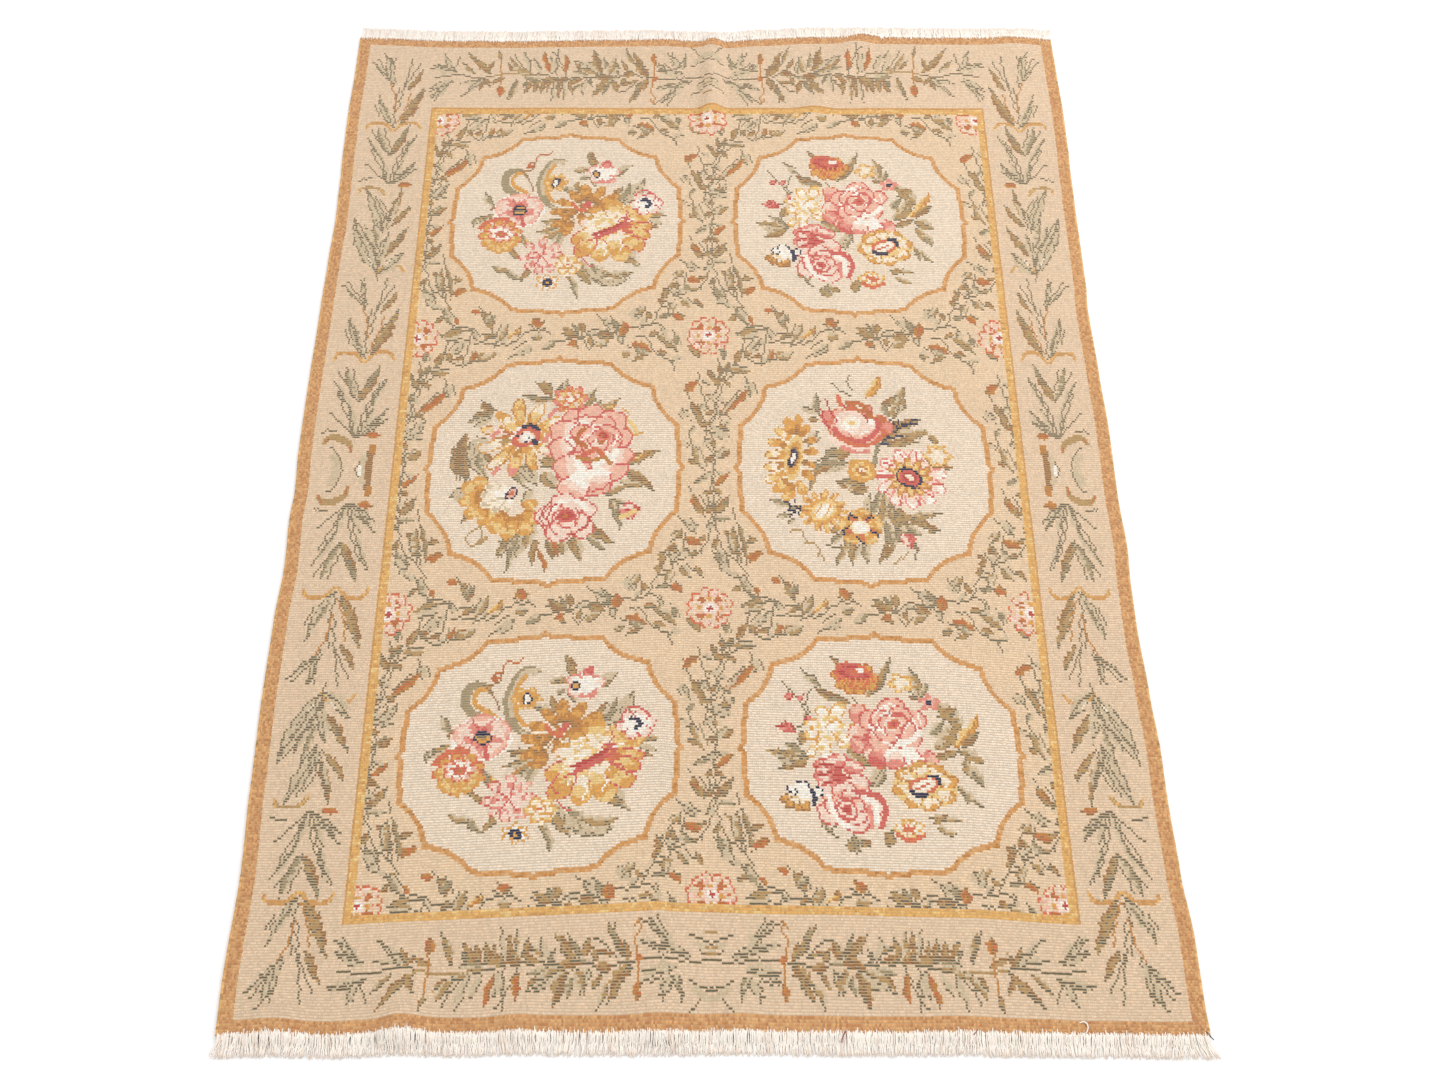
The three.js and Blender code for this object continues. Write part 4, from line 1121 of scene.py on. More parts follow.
def work_chart():
    """Draws the whole pattern and returns the chart with a region's name for each stitch."""
    chart = Chart()
    across, along = chart.grid()
    work_vines(chart)
    for row in (-1.5, -0.5, 0.5, 1.5):
        for column in (-2, 0, 2):
            rosette(Spot(chart, column * ROSETTE_X, np.sign(row) * min(abs(row) * CELL_Y, ROSETTE_END)))
    region = np.full(chart.ink.shape, "field", dtype="<U12")
    bouquets = {
        (-1, -1): bouquet_with_peony, (1, -1): bouquet_with_two_roses, (-1, 0): bouquet_with_white_daisy,
        (1, 0): bouquet_with_sunflower, (-1, 1): bouquet_with_peony, (1, 1): bouquet_with_two_roses,
    }
    for number, ((side, row), bouquet) in enumerate(bouquets.items()):
        inside = work_medallion(chart, side * CELL_X, row * CELL_Y)
        region[inside] = f"medallion_{number + 1}"
        bouquet(Spot(chart, side * CELL_X, row * CELL_Y))
    out_x = np.abs(across) - GUARD_X
    out_y = np.abs(along) - GUARD_Y
    out = np.maximum(out_x, out_y)
    guard = out > -GUARD_HALF
    chart.fill(guard, "guard")
    chart.fill(out > GUARD_HALF - GUARD_LINE, "guard_line")
    border = out > GUARD_HALF
    chart.fill(border, "border")
    region[guard] = "guard"
    region[border & (across < -GUARD_X)] = "side_left"
    region[border & (across > GUARD_X)] = "side_right"
    region[border & (along < -GUARD_Y)] = "end_front"
    region[border & (along > GUARD_Y)] = "end_back"
    for flip_x in (-1, 1):
        for flip_y in (-1, 1):
            long_garland(Spot(chart, -flip_x * HALF_WIDTH, 0, flip_x, flip_y, swap=True))
            short_garland(Spot(chart, 0, -flip_y * GARLAND_STEM, flip_x, flip_y))
    band = (np.abs(across) > HALF_WIDTH - BAND_SIDE) | (np.abs(along) > HALF_LENGTH - BAND_END)
    chart.fill(band, "band", np.random.default_rng(CHART_SEED + 1).random(band.shape))
    region[band] = "band"
    return chart, region


# Lie of the cloth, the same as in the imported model

FRINGE_REACH = 28
FLOOR_DROP = 0.5

# Ridges that run in from the ends: end, place and height at the edge, place and height at the
# top, how far in the top lies, how far in the ridge reaches, half its width
RIDGES = (
    (-1, -543, 5.5, -543, 5.5, 15, 105, 48), (-1, -383, 12, -383, 11, 20, 130, 52),
    (-1, -242, 4, -242, 4, 15, 90, 45), (-1, -66, 7, -61, 7, 30, 170, 60), (-1, 36, 4, 36, 4, 15, 100, 45),
    (-1, 306, 3, 306, 3, 15, 100, 55), (1, -70, 2.7, -70, 2.7, 20, 90, 40), (1, 10, 8, 8, 14, 150, 265, 30),
    (1, 273, 7, 195, 7, 150, 270, 42), (1, 540, 3.5, 540, 3.5, 20, 120, 50),
)

# How far each side stands out past a straight line, at places along it
OUTLINE = {
    "left": (
        (-915, 2.5), (-845, 3.5), (-695, -0.5), (-575, 3), (-425, 5), (-305, 4), (-215, 0), (-125, 2.5),
        (-80, 0.5), (0, 3.5), (85, 3.5), (285, 1.5), (385, 0), (475, -2.2), (565, -0.8), (635, 1.2),
        (725, 2), (835, 0), (915, 0),
    ),
    "right": (
        (-915, 6), (-875, 4.5), (-785, 4.5), (-695, -1), (-585, -3.2), (-515, -2.5), (-425, -6),
        (-315, -9.5), (-245, -9), (-175, -6), (-95, -8.5), (45, -7), (145, -9), (285, -11.5),
        (335, -8.5), (475, -7.5), (585, -6), (645, -4), (735, -3), (835, -4.5), (915, -5.5),
    ),
    "front": (
        (-610, 0), (-540, -1.5), (-480, 1), (-420, -1), (-390, -4), (-350, -2), (-300, -1.5),
        (-240, -3.5), (-160, -2.5), (-50, -2.5), (30, -3.5), (90, -3), (190, -2), (300, -2.3), (390, -1),
        (480, 0), (570, 2), (610, 1.5),
    ),
    "back": (
        (-610, 5), (-570, 2.5), (-450, -3), (-340, -4), (-270, -2), (-180, 0), (-110, 1), (-50, -2),
        (-10, -3), (30, -4.5), (90, 2), (180, 8), (240, 8.5), (330, 8), (390, 6.5), (510, 7), (570, 6.5),
        (610, 3),
    ),
}

# The front rows of the pattern bow towards the back: how far at places across, and what share
# of that at places along the pattern
BOW_ACROSS = (
    (-610, 0), (-474, 0), (-270, 11), (-66, 21), (-50, 19), (30, 17), (180, 13.5), (340, 10), (466, 0.5),
    (610, 0),
)
BOW_ALONG = (
    (-915, 0), (-895, 0.3), (-756, 1), (-288, 0.9), (-206, 0.35), (0, 0.25), (206, 0.4), (756, 0), (915, 0),
)


def smooth(share):
    share = np.clip(share, 0, 1)
    return share * share * (3 - 2 * share)


def stand_out(side, along):
    place, out = np.array(OUTLINE[side]).T
    index = np.clip(np.searchsorted(place, along) - 1, 0, len(place) - 2)
    share = smooth((along - place[index]) / (place[index + 1] - place[index]))
    return out[index] + (out[index + 1] - out[index]) * share


def lift(u, v):
    """Height of the cloth's underside over the floor."""
    height = np.zeros(np.broadcast(u, v).shape)
    for end, edge_x, edge_high, top_x, top_high, top_in, reach, half in RIDGES:
        inward = HALF_LENGTH - end * v
        middle = edge_x + (top_x - edge_x) * inward / top_in
        across = np.minimum(np.abs(u - middle) / half, 1)
        rising = edge_high + (top_high - edge_high) * smooth(inward / top_in)
        fading = 1 - smooth((inward - top_in) / (reach - top_in))
        height += np.where(inward < reach, rising * fading * 0.5 * (1 + np.cos(pi * across)), 0)
    return height


# How far in from an edge the cloth still follows the edge's wander
EDGE_REACH = 170


def settle(u, v):
    """Where a place on the straight cloth comes to lie on the floor."""
    left, right = (smooth(1 - (HALF_WIDTH + side * u) / EDGE_REACH) for side in (1, -1))
    front, back = (smooth(1 - (HALF_LENGTH + side * v) / EDGE_REACH) for side in (1, -1))
    x = u - stand_out("left", v) * left + stand_out("right", v) * right
    y = v - stand_out("front", u) * front + stand_out("back", u) * back
    return x, y


def middle_shift():
    """From the straight cloth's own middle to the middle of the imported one."""
    u = np.linspace(-HALF_WIDTH, HALF_WIDTH, COLUMNS)
    v = np.linspace(-HALF_LENGTH, HALF_LENGTH, ROWS)
    xs = np.concatenate([settle(np.full(ROWS, side * HALF_WIDTH), v)[0] for side in (-1, 1)])
    ys = np.concatenate([settle(u, np.full(COLUMNS, side * HALF_LENGTH))[1] for side in (-1, 1)])
    low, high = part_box("rug_cloth")
    packed_x = (low[0] + high[0]) / 2 / MM
    packed_y = (low[1] + high[1]) / 2 / MM
    return packed_x - (xs.min() + xs.max()) / 2, packed_y - (ys.min() + ys.max()) / 2


SHIFT_X, SHIFT_Y = middle_shift()


def laid(u, v, height):
    """Places in metres of cloth at a height over its underside."""
    x, y = settle(u, v)
    return np.stack([x + SHIFT_X, y + SHIFT_Y, lift(u, v) + height], -1) * MM


def bowed(u, v):
    pattern = np.interp(v, WOVEN_PLACES, PATTERN_PLACES)
    across = np.interp(u, *np.array(BOW_ACROSS).T)
    along = np.interp(pattern, *np.array(BOW_ALONG).T)
    return v + across * along


# Colours

def linear(hex_colour):
    """An sRGB hex colour as linear red, green and blue."""
    found = []
    for place in (0, 2, 4):
        value = int(hex_colour[place:place + 2], 16) / 255
        found.append(value / 12.92 if value < 0.04045 else ((value + 0.055) / 1.055) ** 2.4)
    return tuple(found)


# Settings of the add-on

def colour_property(name, description, hex_colour):
    return bpy.props.FloatVectorProperty(
        name=name, description=description, default=linear(hex_colour), min=0, max=1, size=3,
        subtype="COLOR",
    )


def length_property(name, description, default, low, high):
    """A length given in millimetres and kept in metres."""
    return bpy.props.FloatProperty(
        name=name, description=description, default=default * MM, min=low * MM, max=high * MM,
        unit="LENGTH",
    )


class YarnColours(bpy.types.PropertyGroup):
    """The dyed yarns of the face."""

    __annotations__ = {
        name: colour_property(name.replace("_", " ").capitalize(), "Dyed wool", hex_colour)
        for name, hex_colour in YARNS.items()
    }


class FaceSettings(bpy.types.PropertyGroup):
    """How evenly the face is spun and knotted."""

    heather: bpy.props.FloatProperty(
        name="Heather", description="How far one stitch differs from the next in tone",
        default=0.17, min=0, max=0.5, subtype="FACTOR",
    )
    lean: length_property("Lean", "How far the knots of one row lean against the next", 1.1, 0, 1.3)
    unevenness: length_property("Unevenness", "How far the corner of a stitch strays", 0.25, 0, 1)
    seed: bpy.props.IntProperty(name="Seed", description="Start of the random spinning", default=11)


class EdgeSettings(bpy.types.PropertyGroup):
    """The overcast long sides."""

    radius: length_property("Radius", "Radius of the wrapped side cord", 2.2, 1, 5)
    pitch: length_property("Wrap pitch", "From one wrap of wool to the next", 3.9, 1, 10)
    colour: colour_property("Colour", "Wool of the overcast sides", "CFA068")


class FringeSettings(bpy.types.PropertyGroup):
    """The free warp ends."""

    threads: bpy.props.IntProperty(
        name="Threads", description="Warp ends at each end of the rug", default=1900, min=100, max=3000,
    )
    radius: length_property("Thread radius", "Radius of one warp end", 0.8, 0.3, 1.5)
    reach: length_property("Reach", "How far the ends reach past the cloth", FRINGE_REACH, 5, 60)
    colour: colour_property("Colour", "Undyed cotton", "FFF4E9")
    # Tip colour: painted shadow where the warp ends lie on the floor, also used to darken a few threads all
    # along
    tip_shadow_and_age_colour: colour_property("Tip colour", "Soiled tips of the cotton", "D3B8A0")


class StageSettings(bpy.types.PropertyGroup):
    """Floor and light."""

    floor_colour: colour_property("Floor", "Matt white floor", "FDFDFD")
    key_power: bpy.props.FloatProperty(
        name="Key light", description="Power of the big soft light", default=54, min=0, unit="POWER",
    )
    sky_strength: bpy.props.FloatProperty(
        name="Surround", description="Strength of the even light all round", default=0.97, min=0,
    )


# Materials

def add_node(tree, kind, settings=None, inputs=None):
    """Adds a node, sets its properties, and sets each input, or links it to a socket or a node."""
    node = tree.nodes.new("ShaderNode" + kind)
    for name, value in (settings or {}).items():
        setattr(node, name, value)
    for socket, value in (inputs or {}).items():
        if isinstance(value, bpy.types.Node):
            value = value.outputs[0]
        if isinstance(value, bpy.types.NodeSocket):
            tree.links.new(value, node.inputs[socket])
        else:
            node.inputs[socket].default_value = value
    return node


def new_material(name):
    material = bpy.data.materials.new(name)
    material.use_nodes = True
    material.node_tree.nodes.clear()
    return material


SMOOTH_RANGE = {"interpolation_type": "SMOOTHSTEP"}
# Share of a stitch's length from its middle where the groove between two rows starts, and where
# it is at its deepest
GROOVE_START = 0.2
GROOVE_FULL = 0.46
# Share of the weft that shows in the groove: more at the thin dark yarns of the leaves
BARE = {
    "border": 0.75, "field": 0.75, "ivory": 0.75, "moss": 0.95, "sage": 0.65, "khaki": 0.5, "bark": 0.6,
    "mist": 0.5,
}
BARE_FLOWERS = 0.28
WEFT_COLOUR = "DDC09C"
# How far a stitch slants over its row, and how dark the painted shade in the hollow between two stitches is
STITCH_SLANT = 0.45
PAINTED_STITCH_SHADE = 0.9
# Painted shade in the groove between two rows and the hollow between two stitches: what its depth leaves of
# red, green and blue
PAINTED_GROOVE_SHADE = (0.91, 0.88, 0.85, 1.0)
# Raised height of one row of knots over the groove, in metres
ROW_RELIEF = 0.0009
# Wool fibre is drawn as a fuzz 1.2 mm across: the real 0.03 mm is too fine to show
FUZZ_SIZE = 1.2 * MM


def knotted_wool():
    """Hand-knotted wool yarn, low and dense: matt with a soft sheen, ribbed by its rows, with painted shade
    in the grooves between rows and the hollows between stitches.
    """
    material = new_material("hand-knotted wool yarn")
    tree = material.node_tree
    yarn = add_node(tree, "VertexColor", {"layer_name": "yarn"})
    stitches = add_node(tree, "UVMap", {"uv_map": "stitches"})
    parts = add_node(tree, "SeparateXYZ", inputs={0: stitches})
    along = add_node(tree, "Math", {"operation": "FRACT"}, {0: parts.outputs["Y"]})
    slanted = add_node(
        tree, "Math", {"operation": "MULTIPLY_ADD"},
        {0: along, 1: STITCH_SLANT, 2: parts.outputs["X"]},
    )
    across = add_node(tree, "Math", {"operation": "FRACT"}, {0: slanted})
    from_row = add_node(tree, "Math", {"operation": "SUBTRACT"}, {0: along, 1: 0.5})
    row_depth = add_node(tree, "Math", {"operation": "ABSOLUTE"}, {0: from_row})
    from_column = add_node(tree, "Math", {"operation": "SUBTRACT"}, {0: across, 1: 0.5})
    column_depth = add_node(tree, "Math", {"operation": "ABSOLUTE"}, {0: from_column})
    groove = add_node(
        tree, "MapRange", SMOOTH_RANGE,
        {"Value": row_depth, "From Min": GROOVE_START, "From Max": GROOVE_FULL},
    )
    between = add_node(
        tree, "MapRange", SMOOTH_RANGE,
        {"Value": column_depth, "From Min": 0.2, "From Max": 0.5, "To Max": PAINTED_STITCH_SHADE},
    )
    # Painted shade: the colour darkens in the groove between rows and the hollow between stitches
    hollow = add_node(tree, "Math", {"operation": "MAXIMUM"}, {0: groove, 1: between})
    bare = add_node(tree, "Math", {"operation": "MULTIPLY"}, {0: groove, 1: yarn.outputs["Alpha"]})
    weft = (*linear(WEFT_COLOUR), 1.0)
    lit = add_node(tree, "Mix", {"data_type": "RGBA"}, {"Factor": bare, 6: yarn.outputs["Color"], 7: weft})
    colour = add_node(
        tree, "Mix", {"data_type": "RGBA", "blend_type": "MULTIPLY"},
        {"Factor": hollow, 6: lit.outputs[2], 7: PAINTED_GROOVE_SHADE},
    )
    rib = add_node(
        tree, "MapRange", SMOOTH_RANGE,
        {"Value": row_depth, "From Min": 0.1, "From Max": 0.5, "To Min": 1.0, "To Max": 0.0},
    )
    strand = add_node(
        tree, "MapRange", SMOOTH_RANGE,
        {"Value": column_depth, "From Min": 0.25, "From Max": 0.5, "To Max": -0.35},
    )
    knot = add_node(tree, "Math", {"operation": "ADD"}, {0: rib, 1: strand})
    place = add_node(tree, "TexCoord")
    grain = {"Vector": place.outputs["Object"], "Scale": 1 / FUZZ_SIZE}
    fuzz = add_node(tree, "TexNoise", inputs=grain)
    height = add_node(tree, "Math", {"operation": "MULTIPLY_ADD"}, {0: fuzz, 1: 0.5, 2: knot})
    bump = add_node(tree, "Bump", inputs={"Strength": 0.8, "Distance": ROW_RELIEF, "Height": height})
    shader = add_node(
        tree, "BsdfPrincipled",
        inputs={
            "Base Color": colour.outputs[2], "Roughness": 0.92, "Specular IOR Level": 0.25,
            "Sheen Weight": 0.12, "Sheen Roughness": 0.5, "Normal": bump,
        },
    )
    add_node(tree, "OutputMaterial", inputs={"Surface": shader})
    return material


def fibre(name, colour=None, fuzz_size=1.5 * MM, relief=0.3 * MM):
    """Spun yarn or thread, matt with fine fuzz. Its colour is even, or comes from the mesh."""
    material = new_material(name)
    tree = material.node_tree
    place = add_node(tree, "TexCoord")
    grain = {"Vector": place.outputs["Object"], "Scale": 1 / fuzz_size}
    fuzz = add_node(tree, "TexNoise", inputs=grain)
    bump = add_node(tree, "Bump", inputs={"Strength": 0.6, "Distance": relief, "Height": fuzz})
    shader = add_node(
        tree, "BsdfPrincipled",
        inputs={"Roughness": 0.88, "Specular IOR Level": 0.3, "Sheen Weight": 0.1, "Normal": bump},
    )
    if colour:
        shader.inputs["Base Color"].default_value = (*colour, 1.0)
    else:
        yarn = add_node(tree, "VertexColor", {"layer_name": "yarn"})
        tree.links.new(yarn.outputs["Color"], shader.inputs["Base Color"])
    add_node(tree, "OutputMaterial", inputs={"Surface": shader})
    return material


# Meshes

def mesh_piece(name, points, faces, material, colours=None, stitches=None, smoothed=True):
    """A mesh of four-sided faces, with a colour for each face's corner where given."""
    mesh = bpy.data.meshes.new(name)
    mesh.vertices.add(len(points))
    mesh.vertices.foreach_set("co", np.ascontiguousarray(points, np.float32).ravel())
    mesh.loops.add(faces.size)
    mesh.loops.foreach_set("vertex_index", faces.astype(np.int32).ravel())
    mesh.polygons.add(len(faces))
    mesh.polygons.foreach_set("loop_start", np.arange(0, faces.size, 4, dtype=np.int32))
    mesh.polygons.foreach_set("use_smooth", np.full(len(faces), smoothed))
    if stitches is not None:
        layer = mesh.uv_layers.new(name="stitches")
        layer.data.foreach_set("uv", stitches.astype(np.float32).ravel())
    if colours is not None:
        painted = mesh.color_attributes.new("yarn", "FLOAT_COLOR", "CORNER")
        if colours.shape[-1] == 3:
            colours = np.concatenate([colours, np.ones((*colours.shape[:-1], 1))], -1)
        painted.data.foreach_set("color", colours.astype(np.float32).ravel())
    mesh.update(calc_edges=True)
    mesh.validate()
    mesh.materials.append(material)
    piece = bpy.data.objects.new(name, mesh)
    bpy.context.scene.collection.objects.link(piece)
    return piece


def corners_of(rows, columns):
    """The four corner numbers of each cell of a grid of points."""
    first = np.arange(rows)[:, None] * (columns + 1) + np.arange(columns)
    return np.stack([first, first + 1, first + columns + 2, first + columns + 1], -1).reshape(-1, 4)


def tubes(paths, radii, sides=4):
    """Tubes along paths of equal length, as points and faces. Those with four sides are capped."""
    count, rings, _ = paths.shape
    ahead = np.gradient(paths, axis=1)
    ahead /= np.linalg.norm(ahead, axis=-1, keepdims=True) + 1e-12
    beside = np.cross(ahead, np.array([0, 0, 1.0]))
    beside /= np.linalg.norm(beside, axis=-1, keepdims=True) + 1e-9
    above = np.cross(beside, ahead)
    turns = (np.arange(sides) + 0.5) * 2 * pi / sides
    ring = np.cos(turns)[:, None] * beside[:, :, None] + np.sin(turns)[:, None] * above[:, :, None]
    points = paths[:, :, None] + ring * radii[:, :, None, None]
    start = (np.arange(count)[:, None, None] * rings + np.arange(rings - 1)[:, None]) * sides
    a = start + np.arange(sides)
    b = start + (np.arange(sides) + 1) % sides
    walls = np.stack([a, b, b + sides, a + sides], -1).reshape(-1, 4)
    caps = []
    if sides == 4:
        first = (np.arange(count) * rings * sides)[:, None]
        last = first + (rings - 1) * sides
        caps = [first + np.array([3, 2, 1, 0]), last + np.arange(4)]
    return points.reshape(-1, 3), np.concatenate([walls, *caps])


def rug():
    return bpy.context.scene.rug


def finish_piece(piece):
    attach(piece, "root")


# How far the foundation's top lies under the face, and at its rim, and its rows of cells
FOUNDATION_DROP = 0.6
RIM_DROP = 0.05
FOUNDATION_ROWS = 118


class RUG_OT_foundation(bpy.types.Operator):
    """Lays the woven foundation, a closed sheet under the knots"""

    bl_idname = "rug.foundation"
    bl_label = "Foundation"

    def execute(self, context):
        columns, rows = COLUMNS // 2, FOUNDATION_ROWS
        u, v = np.meshgrid(
            np.linspace(-HALF_WIDTH, HALF_WIDTH, columns + 1),
            np.linspace(-HALF_LENGTH, HALF_LENGTH, rows + 1),
        )
        rim = (np.abs(u) > HALF_WIDTH - 0.1) | (np.abs(v) > HALF_LENGTH - 0.1)
        drop = np.where(rim, RIM_DROP, FOUNDATION_DROP)
        top = laid(u, v, CLOTH_THICKNESS - drop).reshape(-1, 3)
        under = laid(u, v, 0).reshape(-1, 3)
        cells = corners_of(rows, columns)
        number = np.arange(u.size).reshape(u.shape)
        loop = np.concatenate([number[0], number[1:, -1], number[-1, -2::-1], number[-2:0:-1, 0]])
        after = np.roll(loop, -1)
        wall = np.stack([loop + u.size, after + u.size, after, loop], -1)
        faces = np.concatenate([cells, cells[:, ::-1] + u.size, wall])
        # Undyed cotton and the backs of the knots, plain and close: matt
        material = fibre("cotton foundation", linear("D3B58A"), 2.6 * MM, 0.5 * MM)
        sheet = mesh_piece("rug_foundation", np.concatenate([top, under]), faces, material)
        finish_piece(sheet)
        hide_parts("rug_cloth")
        return {"FINISHED"}


def yarn_colours(chart, settings):
    """A colour for each stitch: its yarn's, heathered, and streaked by the dye lot.

    The fourth value is how much of the weft shows between its row and the next: the dark
    yarns are thin and leave it bare.
    """
    dyed = np.array([tuple(getattr(rug().yarns, name)) for name in YARNS])
    colours = dyed[chart.ink]
    random = np.random.default_rng(settings.seed)
    tone = 1 + settings.heather * (random.random(chart.ink.shape) + random.random(chart.ink.shape) - 1)
    streak = np.convolve(random.normal(0, 1, ROWS + 8), np.ones(9) / 9, "valid")
    tone = tone * (1 + 0.02 * streak[:, None])
    warmth = 1 + 0.018 * random.normal(0, 1, chart.ink.shape)
    colours = colours * tone[..., None] * np.stack([warmth, np.ones_like(warmth), 1 / warmth], -1)
    bare = np.array([BARE.get(name, BARE_FLOWERS) for name in YARNS])
    return np.clip(np.concatenate([colours, bare[chart.ink][..., None]], -1), 0, 1)


class RUG_OT_face(bpy.types.Operator):
    """Knots the wool face from the chart, one face for each stitch, a piece for each part"""

    bl_idname = "rug.face"
    bl_label = "Wool face"

    def execute(self, context):
        settings = rug().face
        chart, region = work_chart()
        random = np.random.default_rng(settings.seed + 1)
        u, v = np.meshgrid(
            np.linspace(-HALF_WIDTH, HALF_WIDTH, COLUMNS + 1),
            np.linspace(-HALF_LENGTH, HALF_LENGTH, ROWS + 1),
        )
        places = laid(u, bowed(u, v), CLOTH_THICKNESS)
        inner = (slice(1, -1), slice(1, -1))
        places[inner] += random.normal(0, settings.unevenness, places[inner].shape) * (1, 1, 0.5)
        sway = 0.5 * np.sin(u / 37 + 2 * np.sin(v / 61)) * np.sin(v / 23 + u / 190)
        lean = settings.lean * np.where(np.arange(ROWS + 1) % 2, 0.5, -0.5)[:, None] * np.ones_like(u)
        places[inner] += np.stack([lean, sway * MM, np.abs(sway) * 0.3 * MM], -1)[inner]
        points = places.reshape(-1, 3)
        cells = corners_of(ROWS, COLUMNS)
        colours = yarn_colours(chart, settings).reshape(-1, 4)
        column, row = np.meshgrid(np.arange(COLUMNS), np.arange(ROWS))
        square = np.array([(0, 0), (1, 0), (1, 1), (0, 1)])
        stitches = np.stack([column, row], -1).reshape(-1, 1, 2) + square
        # Dyed wool knotted in close rows: soft and matt, with a low rib for each row and painted shade in
        # the grooves
        material = knotted_wool()
        for name in np.unique(region):
            chosen = np.flatnonzero(region.ravel() == name)
            used, faces = np.unique(cells[chosen], return_inverse=True)
            painted = np.repeat(colours[chosen][:, None], 4, 1)
            faces = faces.reshape(-1, 4)
            piece = mesh_piece(
                f"face_{name}", points[used], faces, material, painted, stitches[chosen], smoothed=False,
            )
            finish_piece(piece)
        return {"FINISHED"}


# How far in from the cloth's edge the cord of a side runs, and how high over the floor
CORD_INSET = 0.6
CORD_HEIGHT = 2.25
STEPS_A_WRAP = 5


class RUG_OT_selvedges(bpy.types.Operator):
    """Wraps the two long sides in wool"""

    bl_idname = "rug.selvedges"
    bl_label = "Overcast sides"

    def execute(self, context):
        settings = rug().edges
        random = np.random.default_rng(21)
        wraps = int(CLOTH_LENGTH * MM / settings.pitch)
        v = np.linspace(-HALF_LENGTH + 0.4, HALF_LENGTH - 0.4, wraps * STEPS_A_WRAP + 1)
        wrap = np.arange(len(v)) / STEPS_A_WRAP
        tone = (1 + 0.16 * random.normal(0, 1, wraps + 2))[wrap.astype(int)]
        full = 1 + 0.1 * np.abs(np.sin(pi * wrap)) + 0.05 * random.normal(0, 1, wraps + 2)[wrap.astype(int)]
        # Wool yarn wound round the side warps: matt, with a ridge for each wrap
        material = fibre("overcast wool yarn")
        for name, side in (("left", -1), ("right", 1)):
            u = np.full(v.shape, side * (HALF_WIDTH - CORD_INSET))
            path = laid(u, v, CORD_HEIGHT)
            points, faces = tubes(path[None], (settings.radius * full)[None], sides=8)
            face_ring = np.repeat(np.arange(len(v) - 1), 8)
            colours = np.array(settings.colour) * tone[face_ring][:, None]
            painted = np.repeat(np.clip(colours, 0, 1)[:, None], 4, 1)
            piece = mesh_piece(f"selvedge_{name}", points, faces, material, painted)
            finish_piece(piece)
        return {"FINISHED"}


# Width of a tuft of threads that lean together, and how flat each thread lies
TUFT = 13
FLATTENED = 0.55
# Width of the fan at a corner, and how far its outermost thread leans out on the left and right
FAN_WIDTH = 40
FAN_LEFT = 4
FAN_RIGHT = 9


def thread_paths(settings, end, random):
    """Warp ends from the band over the cloth's edge to the floor, as paths in millimetres."""
    count = settings.threads
    u = np.linspace(-HALF_WIDTH + 1, HALF_WIDTH - 1, count) + random.normal(0, 0.5, count)
    u = np.clip(u, -HALF_WIDTH + 0.8, HALF_WIDTH - 0.8)
    reach = settings.reach / MM * np.clip(random.normal(0.93, 0.07, count), 0.6, 1.03)
    root = np.abs(random.normal(0, 2.6, count)) + 0.5
    high = lift(u, np.full(count, end * HALF_LENGTH))
    landing = 11 + high * 0.9 + random.normal(0, 1, count)
    corner = np.clip((np.abs(u) - (HALF_WIDTH - FAN_WIDTH)) / FAN_WIDTH, 0, 1) * np.sign(u)
    tufts = np.arange(-HALF_WIDTH, HALF_WIDTH + TUFT, TUFT)
    drift = np.interp(u, tufts, random.normal(0, 2.2, len(tufts))) + random.normal(0, 1.1, count)
    drift += corner * np.where(u > 0, FAN_RIGHT, FAN_LEFT)
    curl_out = random.normal(0, 0.9, count)
    steps = np.linspace(0, 1, 8)
    layer = random.random(count)
    radius = settings.radius / MM
    out = -root[:, None] + (root + reach)[:, None] * steps
    along = np.clip(out / reach[:, None], 0, 1)
    side = u[:, None] + drift[:, None] * along**1.4 + curl_out[:, None] * np.sin(2 * pi * along)
    fall = smooth(np.clip(out, 0, None) / landing[:, None])
    top = CLOTH_THICKNESS + radius * 0.7 + high[:, None]
    height = top + (radius + layer[:, None] * (1 - 0.5 * along) - top) * fall
    v = end * (HALF_LENGTH + out)
    x, y = settle(side, v)
    return np.stack([x + SHIFT_X, y + SHIFT_Y, height], -1), along


class RUG_OT_fringe(bpy.types.Operator):
    """Leaves the cotton warp ends free past both ends of the cloth"""

    bl_idname = "rug.fringe"
    bl_label = "Fringe"

    def execute(self, context):
        settings = rug().fringe
        # Undyed plied cotton: off-white, matt and a little fuzzy, with painted shadow darkening the tips and
        # a few threads darker at random
        material = fibre("cotton warp", fuzz_size=1.0 * MM)
        for name, end in (("front", -1), ("back", 1)):
            random = np.random.default_rng(31 + end)
            paths, along = thread_paths(settings, end, random)
            count = len(paths)
            radii = settings.radius * random.uniform(0.8, 1.15, (count, 1)) * (1 - 0.25 * along)
            points, faces = tubes(paths * MM, radii)
            middles = np.repeat((paths * MM).reshape(-1, 3), 4, 0)
            points = middles + (points - middles) * (1, 1, FLATTENED)
            tone = random.uniform(0.97, 1.08, (count, 1, 1))
            # Painted shadow: each thread darkens towards its tip; a few threads at random are darker all
            # along
            tips = smooth((along - 0.55) / 0.45) * random.uniform(0, 0.8, (count, 1))
            aged = np.where(random.random((count, 1)) < 0.12, 0.55, 0.04)
            tip_shadow_and_age = np.maximum(tips, aged)[..., None]
            plain_cotton, grey = np.array(settings.colour), np.array(settings.tip_shadow_and_age_colour)
            colour = plain_cotton * tone * (1 - tip_shadow_and_age) + grey * tone * tip_shadow_and_age
            walls = np.repeat(colour[:, :-1].reshape(-1, 1, 3), 4, 1).reshape(-1, 3)
            painted = np.concatenate([walls, colour[:, 0], colour[:, -1]])
            painted = np.repeat(np.clip(painted, 0, 1)[:, None], 4, 1)
            piece = mesh_piece(f"fringe_{name}_threads", points, faces, material, painted)
            finish_piece(piece)
            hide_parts(f"fringe_{name}")
        return {"FINISHED"}


